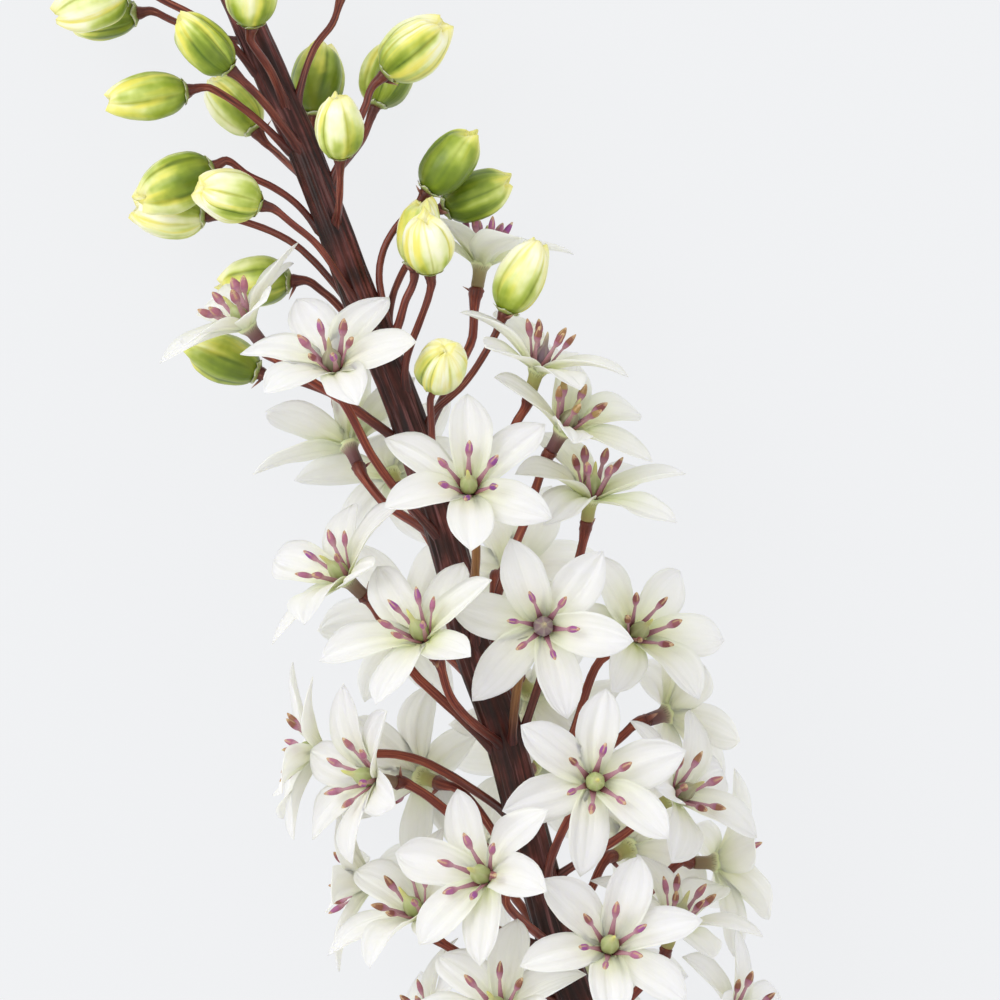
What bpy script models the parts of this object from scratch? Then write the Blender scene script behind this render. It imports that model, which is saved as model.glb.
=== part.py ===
"""A cut stem of pineapple lily, laid on its side.

Metres, +Z up. The stem runs along +Y to its leafy crown, and +X is to the right of the picture.
The picture looks straight down on it. The lowest petals and the cut end of the stem touch z = 0.
"""

import math
import random
from collections import namedtuple

import bmesh
import bpy
import numpy as np
from mathutils import Matrix, Vector
from mathutils.bvhtree import BVHTree

# Picture to part: 1000 px span 200 mm, and the stem slants to the left by this angle
PIXEL = 0.0002
SLANT = math.radians(18.66)
ORIGIN_PIXEL = (461, 600)

# Stem
STEM_RADIUS = 0.0031
STEM_SIDES = 12
RIDGE_DEPTH = 0.09
CUT_RADIUS = 0.0046
CUT_DISTANCE = 0.130
CROWN_DISTANCE = 0.013
CROWN_HEIGHT = 0.0215

# Flower stalks
STALK_RADIUS = 0.00105
STALK_SIDES = 5
STALK_ROOT_RADIUS = 0.0015
KNOB_RADIUS = 0.0016
KNOB_LENGTH = 0.0037
STALK_DROP = 0.018
STALK_BOW = 0.10
STALK_CLIMB_END = 0.93
STALK_STATIONS = (0.0, 0.33, 0.68, 1.0)
SEAT_GAP = 0.0003

# Flowers
PETALS = 6
PETAL_LENGTH = 0.0195
PETAL_WIDTH = 0.0088
PETAL_THICKNESS = 0.0012
OPENING = math.radians(70)
WHORL_STEP = math.radians(6)
MOST_TURN = math.radians(25)
NECK_LENGTH = 0.005
NECK_RADIUS = 0.0013
NECK_SHOULDER = 0.0016
CUP_RADIUS = 0.0023
CUP_HALF = 0.0006
STAMEN_LENGTH = 0.0098
STAMEN_SPREAD = math.radians(40)
STAMEN_ROOT = 0.0010
FILAMENT_RADIUS = 0.00042
ANTHER_RADIUS = 0.00085
OVARY_RADIUS = 0.0019
OVARY_HEIGHT = 0.0044
STYLE_HEIGHT = 0.0078
PETAL_CUP = 0.0008
SHORTER = (1.0, 0.86, 0.72, 0.6)
BENDS = (0, 6, -6, 12, -12, 18, -18, 25, -25, 32, -32, 40, -40, 50, -50)
SWINGS = (0, 7, -7, 14, -14, 21, -21, 28, -28)
CLEARANCE = 0.0005

# Along a petal or a leaf, an ovary and a bud: how far, and the share of the full width or radius there.
# The free stations start where a petal has left its neighbours
BLADE_STATIONS = ((0.0, 0.25), (0.36, 0.78), (0.69, 0.92), (1.0, 0.0))
FREE_STATIONS = ((0.10, 0.40), (0.36, 0.78), (0.69, 0.92), (1.0, 0.0))
OVARY_STATIONS = ((0.11, 0.68), (0.45, 1.0), (1.0, 0.38))
BUD_STATIONS = ((0.0, 0.34), (0.32, 0.98), (0.76, 0.78))

# Buds
BUD_LENGTH = 0.0158
BUD_RADIUS = 0.0050
BUD_GROOVE = 0.88

# Crown
CROWN_LENGTH = 0.048
CROWN_AXIS = ((0.0, 0.0030), (0.5, 0.0026), (1.0, 0.0018))
CROWN_BUDS = 15
CROWN_BUD_LEAN = (math.radians(54), math.radians(34))
CROWN_BUD_PLACE = (0.05, 0.85)
CROWN_BUD_REACH = (0.0120, 0.0040)
CROWN_BUD_LENGTH = (0.0130, 0.0070)
CROWN_STALK_RADIUS = 0.0009
CROWN_BRACTS = 13
BRACT_LEAN = (math.radians(66), math.radians(14))
BRACT_PLACE = (0.90, 0.98)
BRACT_SHORTENING = 0.25
BRACT_LENGTH = 0.034
BRACT_WIDTH = 0.0085
BRACT_CUP = 0.0010
GOLDEN_ANGLE = math.radians(137.5)

# The bare stem below the picture: share of the way to its cut end, step to the right, height over the table
BARE_STEM = [
    (1.00, 0.0010, CUT_RADIUS), (0.80, 0.0050, 0.0105), (0.55, 0.0072, 0.0225), (0.30, 0.0062, 0.0338),
    (0.12, 0.0032, 0.0380),
]

# The stem's middle line in the picture, from its lower edge to its upper one, with its height over the table.
# The widest flowers hold it up, and it bows down to both ends
STEM_PIXELS = [
    ((574, 995), 0.0385), ((540, 880), 0.0385), ((505, 740), 0.0385), ((470, 640), 0.0385),
    ((457, 577), 0.0382), ((428, 480), 0.0372), ((397, 391), 0.0352), ((359, 296), 0.0322),
    ((332, 223), 0.0297), ((301, 143), 0.0268), ((266, 64), 0.0242), ((238, 0), 0.0225),
]

# A bloom: the pixel of its heart, its depth over the stem's axis in metres, the way it faces (right, up,
# out of the picture), the pixels of the petal tips that show, and the pixels its stalk passes on its way down
Bloom = namedtuple("Bloom", "heart depth facing tips stalk")

FLOWERS = [
    Bloom((247, 325), 0.006, (-0.61, 0.76, 0.20), [(182, 338), (289, 239)],
          [(273, 348), (330, 392), (400, 425)]),
    Bloom((335, 369), 0.026, (-0.20, 0.75, 0.63),
          [(240, 355), (265, 394), (299, 302), (390, 296), (416, 339), (351, 383)],
          [(354, 419), (369, 451), (393, 486), (430, 520)]),
    Bloom((538, 369), 0.006, (0.30, 0.93, 0.15), [(465, 301), (497, 324), (591, 353), (629, 358)],
          [(524, 405), (516, 422), (500, 460), (445, 530)]),
    Bloom((481, 262), -0.012, (0.15, 0.95, -0.10), [(517, 238), (571, 229)],
          [(477, 304), (473, 335), (466, 353), (405, 420)]),
    Bloom((348, 445), -0.015, (-0.35, 0.75, -0.50), [(249, 467), (260, 421), (291, 483), (413, 376)],
          [(362, 470), (380, 499), (388, 507), (440, 550)]),
    Bloom((390, 474), -0.026, (-0.30, 0.50, -0.80), [], []),
    Bloom((469, 490), 0.029, (0.00, 0.50, 0.86),
          [(388, 430), (469, 391), (543, 418), (549, 508), (474, 543), (390, 501)],
          [(477, 540), (474, 590), (470, 640)]),
    Bloom((563, 430), 0.008, (0.45, 0.80, 0.35), [(493, 380), (526, 369), (645, 410), (653, 462), (587, 420)],
          [(547, 465), (527, 517), (519, 536), (500, 587), (482, 660)]),
    Bloom((591, 497), 0.005, (0.15, 0.90, 0.35), [(523, 460), (555, 457), (642, 432), (685, 515)],
          [(583, 542), (578, 563), (560, 620), (500, 720)]),
    Bloom((346, 578), 0.010, (-0.65, 0.65, 0.40),
          [(258, 505), (317, 468), (340, 494), (388, 498), (260, 605), (267, 639)],
          [(372, 612), (409, 669), (433, 691), (490, 715)]),
    Bloom((424, 637), 0.028, (-0.40, 0.65, 0.60),
          [(425, 545), (464, 561), (372, 555), (319, 659), (370, 690), (456, 640)],
          [(449, 696), (473, 723), (507, 750)]),
    Bloom((543, 626), 0.027, (0.00, 0.05, 1.00),
          [(446, 603), (513, 541), (601, 556), (633, 638), (566, 718), (471, 699)], [(520, 665), (502, 730)]),
    Bloom((634, 635), 0.007, (0.50, 0.40, 0.77), [(603, 558), (672, 588), (704, 674), (672, 689)],
          [(597, 663), (585, 695), (571, 741), (530, 830)]),
    Bloom((374, 778), 0.010, (-0.80, 0.15, 0.50),
          [(335, 686), (380, 711), (295, 829), (307, 837), (396, 802)],
          [(413, 792), (447, 810), (535, 865)]),
    Bloom((320, 752), -0.008, (-0.95, 0.10, 0.00), [(310, 676)], [(380, 754), (429, 762), (525, 815)]),
    Bloom((421, 778), -0.014, (-0.60, 0.20, -0.75), [(415, 690), (453, 736), (397, 835)],
          [(442, 784), (470, 797), (530, 845)]),
    Bloom((593, 781), 0.027, (0.15, 0.12, 0.98),
          [(609, 691), (661, 760), (666, 839), (585, 873), (519, 804), (527, 723)],
          [(575, 805), (553, 850), (545, 900)]),
    Bloom((668, 714), -0.008, (0.75, 0.25, -0.50), [(709, 665), (743, 741)],
          [(643, 725), (619, 740), (530, 830)]),
    Bloom((676, 796), 0.007, (0.75, 0.42, 0.50), [(661, 715), (653, 785), (728, 767), (759, 836), (695, 840)],
          [(650, 812), (625, 835), (545, 895)]),
    Bloom((717, 864), -0.013, (0.85, 0.00, -0.35), [(699, 846), (761, 839), (783, 913), (756, 922)],
          [(686, 884), (640, 905), (558, 960)]),
    Bloom((486, 875), 0.028, (-0.50, 0.30, 0.80),
          [(459, 788), (523, 802), (528, 879), (415, 933), (471, 952)],
          [(505, 905), (550, 950)]),
    Bloom((419, 914), 0.008, (-0.50, 0.65, 0.55), [(324, 949), (367, 966)],
          [(440, 935), (490, 970), (575, 1015)]),
    Bloom((370, 884), -0.008, (-0.90, 0.10, -0.10), [], [(400, 890), (470, 920), (555, 965)]),
    Bloom((608, 945), 0.029, (0.10, 0.35, 0.93),
          [(546, 875), (637, 853), (698, 915), (683, 994), (615, 994), (521, 961)],
          [(602, 985), (588, 1040)]),
    Bloom((675, 925), 0.003, (0.30, 0.80, 0.30), [(655, 845), (726, 882), (757, 937)],
          [(662, 960), (588, 1045)]),
    Bloom((500, 1010), 0.024, (-0.30, 0.60, 0.70), [(504, 912), (439, 952)], [(520, 1040), (595, 1095)]),
    Bloom((430, 1030), 0.000, (-0.80, 0.50, 0.20), [(411, 970)], [(460, 1045), (598, 1105)]),
    Bloom((530, 693), -0.018, (0.40, -0.50, -0.75), [(575, 720)], [(515, 688), (505, 742)]),
    Bloom((630, 850), -0.019, (0.60, 0.30, -0.75), [], [(610, 860), (558, 950)]),
    Bloom((735, 1020), 0.003, (0.70, 0.50, 0.35), [(704, 960), (735, 1000)], [(705, 1040), (602, 1110)]),
    Bloom((509, 570), -0.027, (0.35, 0.25, -0.90), [], []),
    Bloom((410, 625), -0.027, (-0.35, 0.20, -0.90), [], []),
    Bloom((532, 768), -0.029, (0.10, 0.10, -1.00), [], []),
    Bloom((472, 862), -0.027, (-0.40, 0.10, -0.90), [], []),
    Bloom((594, 985), -0.029, (0.20, 0.20, -0.95), [], []),
    Bloom((690, 1125), 0.010, (0.70, 0.35, 0.50), [], [(660, 1140), (615, 1170)]),
]

BUDS = [
    Bloom((125, -8), 0.004, (-0.94, -0.33, 0.10), [], [(160, -2), (215, 25), (262, 60)]),
    Bloom((135, 10), -0.007, (-0.97, -0.10, -0.20), [], [(172, 19), (228, 38), (250, 48)]),
    Bloom((230, 69), 0.014, (-0.73, 0.67, 0.15), [], [(264, 102), (303, 140)]),
    Bloom((186, 89), 0.004, (-0.98, -0.18, 0.10), [], [(215, 89), (250, 112), (303, 145)]),
    Bloom((254, 128), -0.016, (-0.60, 0.75, -0.25), [], [(275, 150), (318, 195)]),
    Bloom((312, 112), -0.019, (0.08, 0.97, -0.10), [], [(314, 150), (320, 200)]),
    Bloom((340, 158), 0.017, (0.00, 0.90, 0.43), [], [(339, 207), (336, 240)]),
    Bloom((385, 73), 0.002, (0.73, 0.67, 0.10), [], [(367, 97), (364, 108), (325, 195)]),
    Bloom((374, 103), -0.016, (0.35, 0.90, -0.20), [], [(360, 140), (325, 200)]),
    Bloom((251, 26), 0.014, (0.00, 0.95, 0.30), [], [(259, 40), (269, 66), (283, 100)]),
    Bloom((212, 166), 0.002, (-0.92, -0.38, 0.10), [], [(245, 174), (267, 183), (296, 202), (330, 235)]),
    Bloom((204, 214), -0.009, (-0.97, 0.05, -0.20), [], [(250, 222), (300, 245), (345, 285)]),
    Bloom((260, 205), 0.013, (-0.93, 0.30, 0.25), [], [(294, 226), (319, 245), (350, 285)]),
    Bloom((427, 191), 0.002, (0.60, 0.80, 0.05), [], [(414, 198), (392, 230), (376, 274), (372, 320)]),
    Bloom((443, 207), -0.008, (0.92, 0.35, 0.00), [], [(425, 235), (403, 268), (389, 306), (378, 345)]),
    Bloom((430, 273), 0.014, (-0.05, 0.90, 0.42), [], [(424, 290), (421, 319), (405, 360), (395, 385)]),
    Bloom((415, 266), 0.004, (0.10, 0.97, 0.05), [], [(405, 300), (399, 325), (390, 365)]),
    Bloom((505, 312), 0.006, (0.40, 0.90, 0.10), [], [(492, 341), (464, 386), (432, 411), (408, 425)]),
    Bloom((438, 382), 0.019, (0.08, 0.42, 0.90), [], [(430, 397), (432, 430), (425, 470)]),
    Bloom((290, 280), -0.008, (-0.95, 0.00, -0.15), [], [(300, 284), (319, 289), (338, 304), (362, 325)]),
    Bloom((258, 372), -0.008, (-0.92, 0.37, -0.10), [], [(295, 380), (345, 400), (410, 435)]),
    Bloom((343, -12), 0.003, (0.30, 0.95, 0.05), [], [(331, 25), (312, 46), (288, 85)]),
]


def clear_scene():
    for old in list(bpy.data.objects):
        bpy.data.objects.remove(old, do_unlink=True)
    for old in list(bpy.data.collections):
        bpy.data.collections.remove(old)


def turned(right, up):
    """A step in the picture, right and up, in the part's X and Y."""
    return (right * math.cos(SLANT) + up * math.sin(SLANT), up * math.cos(SLANT) - right * math.sin(SLANT))


def in_part(pixel, z=0.0):
    x, y = turned((pixel[0] - ORIGIN_PIXEL[0]) * PIXEL, (ORIGIN_PIXEL[1] - pixel[1]) * PIXEL)
    return Vector((x, y, z))


def heading(facing):
    right, up, out = facing
    return Vector((*turned(right, up), out)).normalized()


def frame_of(axis):
    """Two directions square to the axis and to each other."""
    across = axis.orthogonal().normalized()
    return across, axis.cross(across)


def smooth_points(points, per_span):
    """A Catmull-Rom curve through the points, with per_span steps from one to the next."""
    padded = [points[0] * 2 - points[1], *points, points[-1] * 2 - points[-2]]
    found = []
    for a, b, c, d in zip(padded, padded[1:], padded[2:], padded[3:]):
        for step in range(per_span):
            t = step / per_span
            square, cube = 2 * a - 5 * b + 4 * c - d, 3 * b - a - 3 * c + d
            found.append(0.5 * (2 * b + (c - a) * t + square * t**2 + cube * t**3))
    return found + [points[-1]]


def stem_line():
    """The stem's axis from its cut end, which lies on the table, to the foot of the crown."""
    shown = [in_part(pixel, height) for pixel, height in STEM_PIXELS]
    low = shown[0]
    bare = [Vector((low.x + step, low.y - CUT_DISTANCE * share, height)) for share, step, height in BARE_STEM]
    high = shown[-1]
    end = Vector((high.x - 0.0012, high.y + CROWN_DISTANCE, CROWN_HEIGHT))
    return smooth_points([*bare, *shown, end], 2)


def material(name, colour, roughness):
    made = bpy.data.materials.new(name)
    made.use_nodes = True
    shader = made.node_tree.nodes["Principled BSDF"]
    shader.inputs["Base Color"].default_value = (*colour, 1)
    shader.inputs["Roughness"].default_value = roughness
    shader.inputs["Metallic"].default_value = 0.0
    return made


def loft(rings):
    """A closed skin over rings of points. A last ring of one point is a tip."""
    verts = [point for ring in rings for point in ring]
    sides = len(rings[0])
    faces = [tuple(reversed(range(sides)))]
    for row, ring in enumerate(rings[1:]):
        base = row * sides
        for side in range(sides):
            after = (side + 1) % sides
            if len(ring) == 1:
                faces.append((base + side, base + after, base + sides))
            else:
                faces.append((base + side, base + after, base + sides + after, base + sides + side))
    if len(rings[-1]) > 1:
        faces.append(tuple(range(len(verts) - sides, len(verts))))
    return verts, faces


def spoke(across, over, angle):
    return across * math.cos(angle) + over * math.sin(angle)


def round_ring(centre, across, over, radius, sides, turn=0.0):
    return [centre + spoke(across, over, turn + math.tau * k / sides) * radius for k in range(sides)]


def blade(root, bend, tip, sideways, width, thickness, cup, stations=BLADE_STATIONS):
    """Rings of a petal or leaf along root, bend and tip, with a four-cornered, cupped section."""
    rings = []
    for t, share in stations:
        centre = root * (1 - t) ** 2 + bend * 2 * t * (1 - t) + tip * t**2
        if share == 0:
            rings.append([centre])
            continue
        along = ((bend - root) * (1 - t) + (tip - bend) * t).normalized()
        inward = sideways.cross(along).normalized()
        half = sideways * width * share / 2
        rings.append(
            [
                centre + half + inward * cup * share,
                centre + inward * thickness / 2,
                centre - half + inward * cup * share,
                centre - inward * thickness / 2,
            ]
        )
    return rings


def skin(name, shape):
    """A mesh of triangles from points and faces, facing out."""
    mesh = bpy.data.meshes.new(name)
    mesh.from_pydata([tuple(point) for point in shape[0]], [], shape[1])
    work = bmesh.new()
    work.from_mesh(mesh)
    bmesh.ops.triangulate(work, faces=work.faces)
    bmesh.ops.recalc_face_normals(work, faces=work.faces)
    work.to_mesh(mesh)
    work.free()
    return mesh


def loose(name, shape):
    return bpy.data.objects.new(name, skin(name, shape))


def curve_mesh(name, points, radii, profile):
    """A tube along the points as a welded mesh with the profile's section."""
    curve = bpy.data.curves.new(name, "CURVE")
    curve.dimensions = "3D"
    curve.twist_mode = "Z_UP"
    curve.use_fill_caps = True
    curve.bevel_mode = "OBJECT"
    curve.bevel_object = profile
    spline = curve.splines.new("POLY")
    spline.points.add(len(points) - 1)
    for target, point, radius in zip(spline.points, points, radii):
        target.co = (*point, 1)
        target.radius = radius
    path = bpy.data.objects.new(name + "_path", curve)
    bpy.context.scene.collection.objects.link(path)
    graph = bpy.context.evaluated_depsgraph_get()
    mesh = bpy.data.meshes.new_from_object(path.evaluated_get(graph))
    bpy.data.objects.remove(path, do_unlink=True)
    work = bmesh.new()
    work.from_mesh(mesh)
    bmesh.ops.remove_doubles(work, verts=work.verts, dist=0.00002)
    bmesh.ops.triangulate(work, faces=work.faces)
    bmesh.ops.recalc_face_normals(work, faces=work.faces)
    work.to_mesh(mesh)
    work.free()
    mesh.name = name
    return bpy.data.objects.new(name, mesh)


def fuse(name, base, others, finish, home, solver="EXACT"):
    """One body from closed shapes that sink into each other."""
    group = bpy.data.collections.new(name + "_parts")
    bpy.context.scene.collection.children.link(group)
    for other in others:
        group.objects.link(other)
    bpy.context.scene.collection.objects.link(base)
    union = base.modifiers.new("union", "BOOLEAN")
    union.operation = "UNION"
    union.operand_type = "COLLECTION"
    union.collection = group
    union.solver = solver
    graph = bpy.context.evaluated_depsgraph_get()
    mesh = bpy.data.meshes.new_from_object(base.evaluated_get(graph))
    mesh.name = name
    for old in [*others, base]:
        bpy.data.objects.remove(old, do_unlink=True)
    bpy.data.collections.remove(group)
    drop_scraps(mesh)
    return finished(name, mesh, finish, home)


def drop_scraps(mesh):
    """Leaves only the largest of the bodies in the mesh."""
    work = bmesh.new()
    work.from_mesh(mesh)
    left = set(work.verts)
    bodies = []
    while left:
        body = [left.pop()]
        for vert in body:
            for edge in vert.link_edges:
                after = edge.other_vert(vert)
                if after in left:
                    left.remove(after)
                    body.append(after)
        bodies.append(body)
    bodies.sort(key=len)
    bmesh.ops.delete(work, geom=[vert for body in bodies[:-1] for vert in body], context="VERTS")
    work.to_mesh(mesh)
    work.free()


def finished(name, mesh, finish, home):
    mesh.materials.clear()
    mesh.materials.append(finish)
    piece = bpy.data.objects.new(name, mesh)
    home.objects.link(piece)
    return piece


class Obstacles:
    """What a petal has to bend clear of: other flowers, buds, stalks, the stem and the table."""

    def __init__(self):
        self.shapes = []

    def add(self, owner, shape):
        points = np.array([tuple(point) for point in shape[0]])
        tree = BVHTree.FromPolygons([tuple(point) for point in shape[0]], shape[1])
        self.shapes.append((owner, points.min(axis=0), points.max(axis=0), tree))

    def clear(self, shape, mine=(), only=None):
        """Whether the shape is over the table and meets nothing but its own, or nothing of the one named."""
        points = np.array([tuple(point) for point in shape[0]])
        low, high = points.min(axis=0), points.max(axis=0)
        if low[2] < 0:
            return False
        tree = BVHTree.FromPolygons([tuple(point) for point in shape[0]], shape[1])
        for other, other_low, other_high, other_tree in self.shapes:
            if other in mine or (only and other != only):
                continue
            if (low < other_high).all() and (other_low < high).all() and tree.overlap(other_tree):
                return False
        return True


def nearest_on(line, point):
    """The place on the line beside the point, seen from above."""
    return min(line, key=lambda spot: math.hypot(spot.x - point.x, spot.y - point.y))


def heart_of(bloom, line):
    flat = in_part(bloom.heart)
    return Vector((flat.x, flat.y, nearest_on(line, flat).z + bloom.depth))


def stalk_points(bloom, seat, facing, line):
    """The stalk's line from inside the stem up to the knob under the bloom."""
    if bloom.stalk:
        root = nearest_on(line, in_part(bloom.stalk[-1]))
        shown = [in_part(pixel) for pixel in bloom.stalk[:-1]]
    else:
        root = nearest_on(line, nearest_on(line, seat) - Vector((0, STALK_DROP, 0)))
        shown = []
    neck = seat - facing * KNOB_LENGTH
    whole = (Vector((neck.x, neck.y)) - Vector((root.x, root.y))).length
    through = []
    for spot in shown:
        from_root = (Vector((spot.x, spot.y)) - Vector((root.x, root.y))).length
        if from_root < STALK_CLIMB_END * whole:
            climb = math.sin(min(1.0, from_root / whole) * math.pi / 2)
            through.insert(0, Vector((spot.x, spot.y, root.z + (neck.z - root.z) * climb)))
    if not through:
        bow = Vector((neck.x - root.x, 0, neck.z - root.z)) * STALK_BOW
        through = [(root + neck) / 2 + bow]
    return [root, *through, neck]


def stalk_tube(bloom, seat, facing, line):
    """Points and radii of a stalk that ends in the knob that the bloom sits on."""
    route = smooth_points(stalk_points(bloom, seat, facing, line), 8)
    points = [route[round(share * (len(route) - 1))] for share in STALK_STATIONS]
    return [*points, seat], [STALK_ROOT_RADIUS, STALK_RADIUS * 1.1, STALK_RADIUS, STALK_RADIUS, KNOB_RADIUS]


def tube_shape(points, radii, margin, sides=STALK_SIDES):
    rings = []
    for k, (point, radius) in enumerate(zip(points, radii)):
        along = (points[min(k + 1, len(points) - 1)] - points[max(k - 1, 0)]).normalized()
        across, over = frame_of(along)
        rings.append(round_ring(point, across, over, radius + margin, sides))
    return loft(rings)


def bud_shape(base, facing, length, radius, margin=0.0, sides=12):
    """A pointed bud with six lobes, from its foot to its tip."""
    across, over = frame_of(facing)
    rings = []
    for t, share in BUD_STATIONS:
        ring = []
        for k in range(sides):
            groove = BUD_GROOVE if k % 2 and 0 < t else 1.0
            out = radius * share * groove + margin
            ring.append(base + facing * length * t + spoke(across, over, math.tau * k / sides) * out)
        rings.append(ring)
    return loft([*rings, [base + facing * (length + margin)]])


def stamen_rings(heart, facing, out, margin=0.0):
    """A stamen from its thin filament over the swelling of the anther to its tip, three-sided."""
    along = facing * math.cos(STAMEN_SPREAD) + out * math.sin(STAMEN_SPREAD)
    side = facing.cross(out)
    high = side.cross(along)
    root = heart + out * STAMEN_ROOT
    return [
        round_ring(root + along * STAMEN_LENGTH * 0.58, high, side, FILAMENT_RADIUS + margin, 3, math.pi),
        round_ring(root + along * STAMEN_LENGTH * 0.80, high, side, ANTHER_RADIUS + margin, 3, math.pi),
        [root + along * (STAMEN_LENGTH + margin)],
    ]


def core_shapes(heart, facing, across, over, roll, margin):
    """The neck, the ovary with its style and the six stamens, which other flowers' petals have to clear."""
    neck = [
        round_ring(heart - facing * NECK_LENGTH, across, over, NECK_RADIUS + margin, PETALS),
        round_ring(heart - facing * NECK_SHOULDER, across, over, NECK_RADIUS * 1.15 + margin, PETALS),
        round_ring(heart, across, over, CUP_RADIUS + margin, PETALS),
    ]
    shapes = [loft(neck), loft(ovary_rings(heart, facing, across, over, roll, margin))]
    for k in range(PETALS):
        out = spoke(across, over, roll + math.tau * k / PETALS)
        rings = stamen_rings(heart, facing, out, margin)
        foot = heart + facing * CUP_HALF + out * STAMEN_ROOT
        shapes.append(loft([[foot + corner - rings[0][0] for corner in rings[0]], *rings]))
    return shapes


def ovary_rings(heart, facing, across, over, roll, margin=0.0):
    """The ovary's foot, belly and shoulder, and the style's tip."""
    turn = roll + math.pi / PETALS
    rings = []
    for height, radius in OVARY_STATIONS:
        centre = heart + facing * OVARY_HEIGHT * height
        rings.append(round_ring(centre, across, over, OVARY_RADIUS * radius + margin, PETALS, turn))
    return [*rings, [heart + facing * (STYLE_HEIGHT + margin)]]


def flower_shape(heart, facing, across, over, roll, petals):
    """The whole flower as one skin: neck, cup, six petals, six stamens and the ovary with its style.

    The cup is a ring of six windows, each with its corners at the notches beside a petal and over and under
    its middle. A petal grows out of each window, a stamen out of the cup's floor inside it."""
    verts, faces = [], []

    def put(points):
        verts.extend(points)
        return list(range(len(verts) - len(points), len(verts)))

    def band(low, high):
        for k in range(len(low)):
            after = (k + 1) % len(low)
            if len(high) == 1:
                faces.append((low[k], low[after], high[0]))
            else:
                faces.append((low[k], low[after], high[after], high[k]))

    half_way = roll + math.pi / PETALS
    notches = put(round_ring(heart, across, over, CUP_RADIUS, PETALS, half_way))
    uppers = put(round_ring(heart + facing * CUP_HALF, across, over, CUP_RADIUS * 0.95, PETALS, roll))
    lowers = put(round_ring(heart - facing * CUP_HALF, across, over, CUP_RADIUS * 0.95, PETALS, roll))
    ovary = [put(ring) for ring in ovary_rings(heart, facing, across, over, roll)]
    for low, high in zip(ovary, ovary[1:]):
        band(low, high)
    shoulder = heart - facing * NECK_SHOULDER
    collar = put(round_ring(shoulder, across, over, NECK_RADIUS * 1.15, PETALS, half_way))
    seat = put(round_ring(heart - facing * NECK_LENGTH, across, over, NECK_RADIUS, PETALS, half_way))
    band(seat, collar)
    faces.append(tuple(seat))
    for k in range(PETALS):
        before = (k - 1) % PETALS
        faces.append((uppers[k], notches[k], ovary[0][k]))
        faces.append((notches[before], uppers[k], ovary[0][before]))
        faces.append((lowers[k], notches[k], collar[k]))
        faces.append((notches[before], lowers[k], collar[before]))
        faces.append((collar[before], lowers[k], collar[k]))
        petal = [[notches[before], uppers[k], notches[k], lowers[k]], *[put(ring) for ring in petals[k][1:]]]
        for low, high in zip(petal, petal[1:]):
            band(low, high)
        out = spoke(across, over, roll + math.tau * k / PETALS)
        stamen = [[ovary[0][before], uppers[k], ovary[0][k]]]
        for ring in stamen_rings(heart, facing, out):
            stamen.append(put(ring[1:] + ring[:1] if len(ring) > 1 else ring))
        for low, high in zip(stamen, stamen[1:]):
            band(low, high)
    return verts, faces


def regular_ways(roll, facing, across, over):
    """Unit steps from the heart to the six petal tips. Three petals lie inside the other three."""
    ways = []
    for k in range(PETALS):
        opening = OPENING + (WHORL_STEP if k % 2 else -WHORL_STEP)
        out = spoke(across, over, roll + math.tau * k / PETALS)
        ways.append(facing * math.cos(opening) + out * math.sin(opening))
    return ways


def whorl(bloom, heart, facing, across, over):
    """The roll of the whorl that suits the petal tips in the picture, and each petal's own way out."""
    seen = []
    for pixel in bloom.tips:
        flat = in_part(pixel)
        seen.append(Vector((flat.x - heart.x, flat.y - heart.y)))

    def miss(roll):
        ways = regular_ways(roll, facing, across, over)
        return sum(min((way.xy * PETAL_LENGTH - spot).length for way in ways) ** 2 for spot in seen)

    roll = min((math.radians(degrees) for degrees in range(0, 60, 3)), key=miss)
    ways = regular_ways(roll, facing, across, over)
    taken = {}
    for spot in seen:
        near = min(range(PETALS), key=lambda k: (ways[k].xy * PETAL_LENGTH - spot).length)
        miss_here = (ways[near].xy * PETAL_LENGTH - spot).length
        if near not in taken or miss_here < taken[near][0]:
            taken[near] = (miss_here, spot)
    lengths = [PETAL_LENGTH] * PETALS
    for k, (_, spot) in taken.items():
        reach = min(spot.length, PETAL_LENGTH * 1.1)
        flat = spot.normalized() * reach
        rise = math.sqrt(max(0.0, PETAL_LENGTH**2 - reach**2))
        found = Vector((flat.x, flat.y, math.copysign(rise, ways[k].z)))
        turn = ways[k].angle(found)
        share = min(1.0, MOST_TURN / turn) if turn > 0 else 1.0
        ways[k] = ways[k].slerp(found.normalized(), share)
        lengths[k] = max(PETAL_LENGTH, found.length)
    return roll, ways, lengths


def petal_rings(heart, facing, way, length, width, thickness, stations=BLADE_STATIONS):
    out = (way - facing * way.dot(facing)).normalized()
    root = heart + out * CUP_RADIUS * 0.9
    tip = heart + way * length
    rise = max(0.10, way.dot(facing)) * length
    bend = root + facing * (rise * 0.62 + length * 0.10) + out * length * 0.26
    sideways = facing.cross(out).normalized()
    return blade(root, bend, tip, -sideways, width, thickness, PETAL_CUP, stations)


def ways_round():
    """Small turns a petal may take to lie clear, the smallest first: bend up or down, and swing aside."""
    turns = []
    for bend in BENDS:
        for swing in SWINGS:
            turns.append((abs(bend) + 1.2 * abs(swing), math.radians(bend), math.radians(swing)))
    return [(bend, swing) for _, bend, swing in sorted(turns)]


def turned_way(way, facing, bend, swing):
    side = facing.cross(way).normalized()
    return Matrix.Rotation(swing, 3, facing) @ (Matrix.Rotation(bend, 3, side) @ way)


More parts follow.
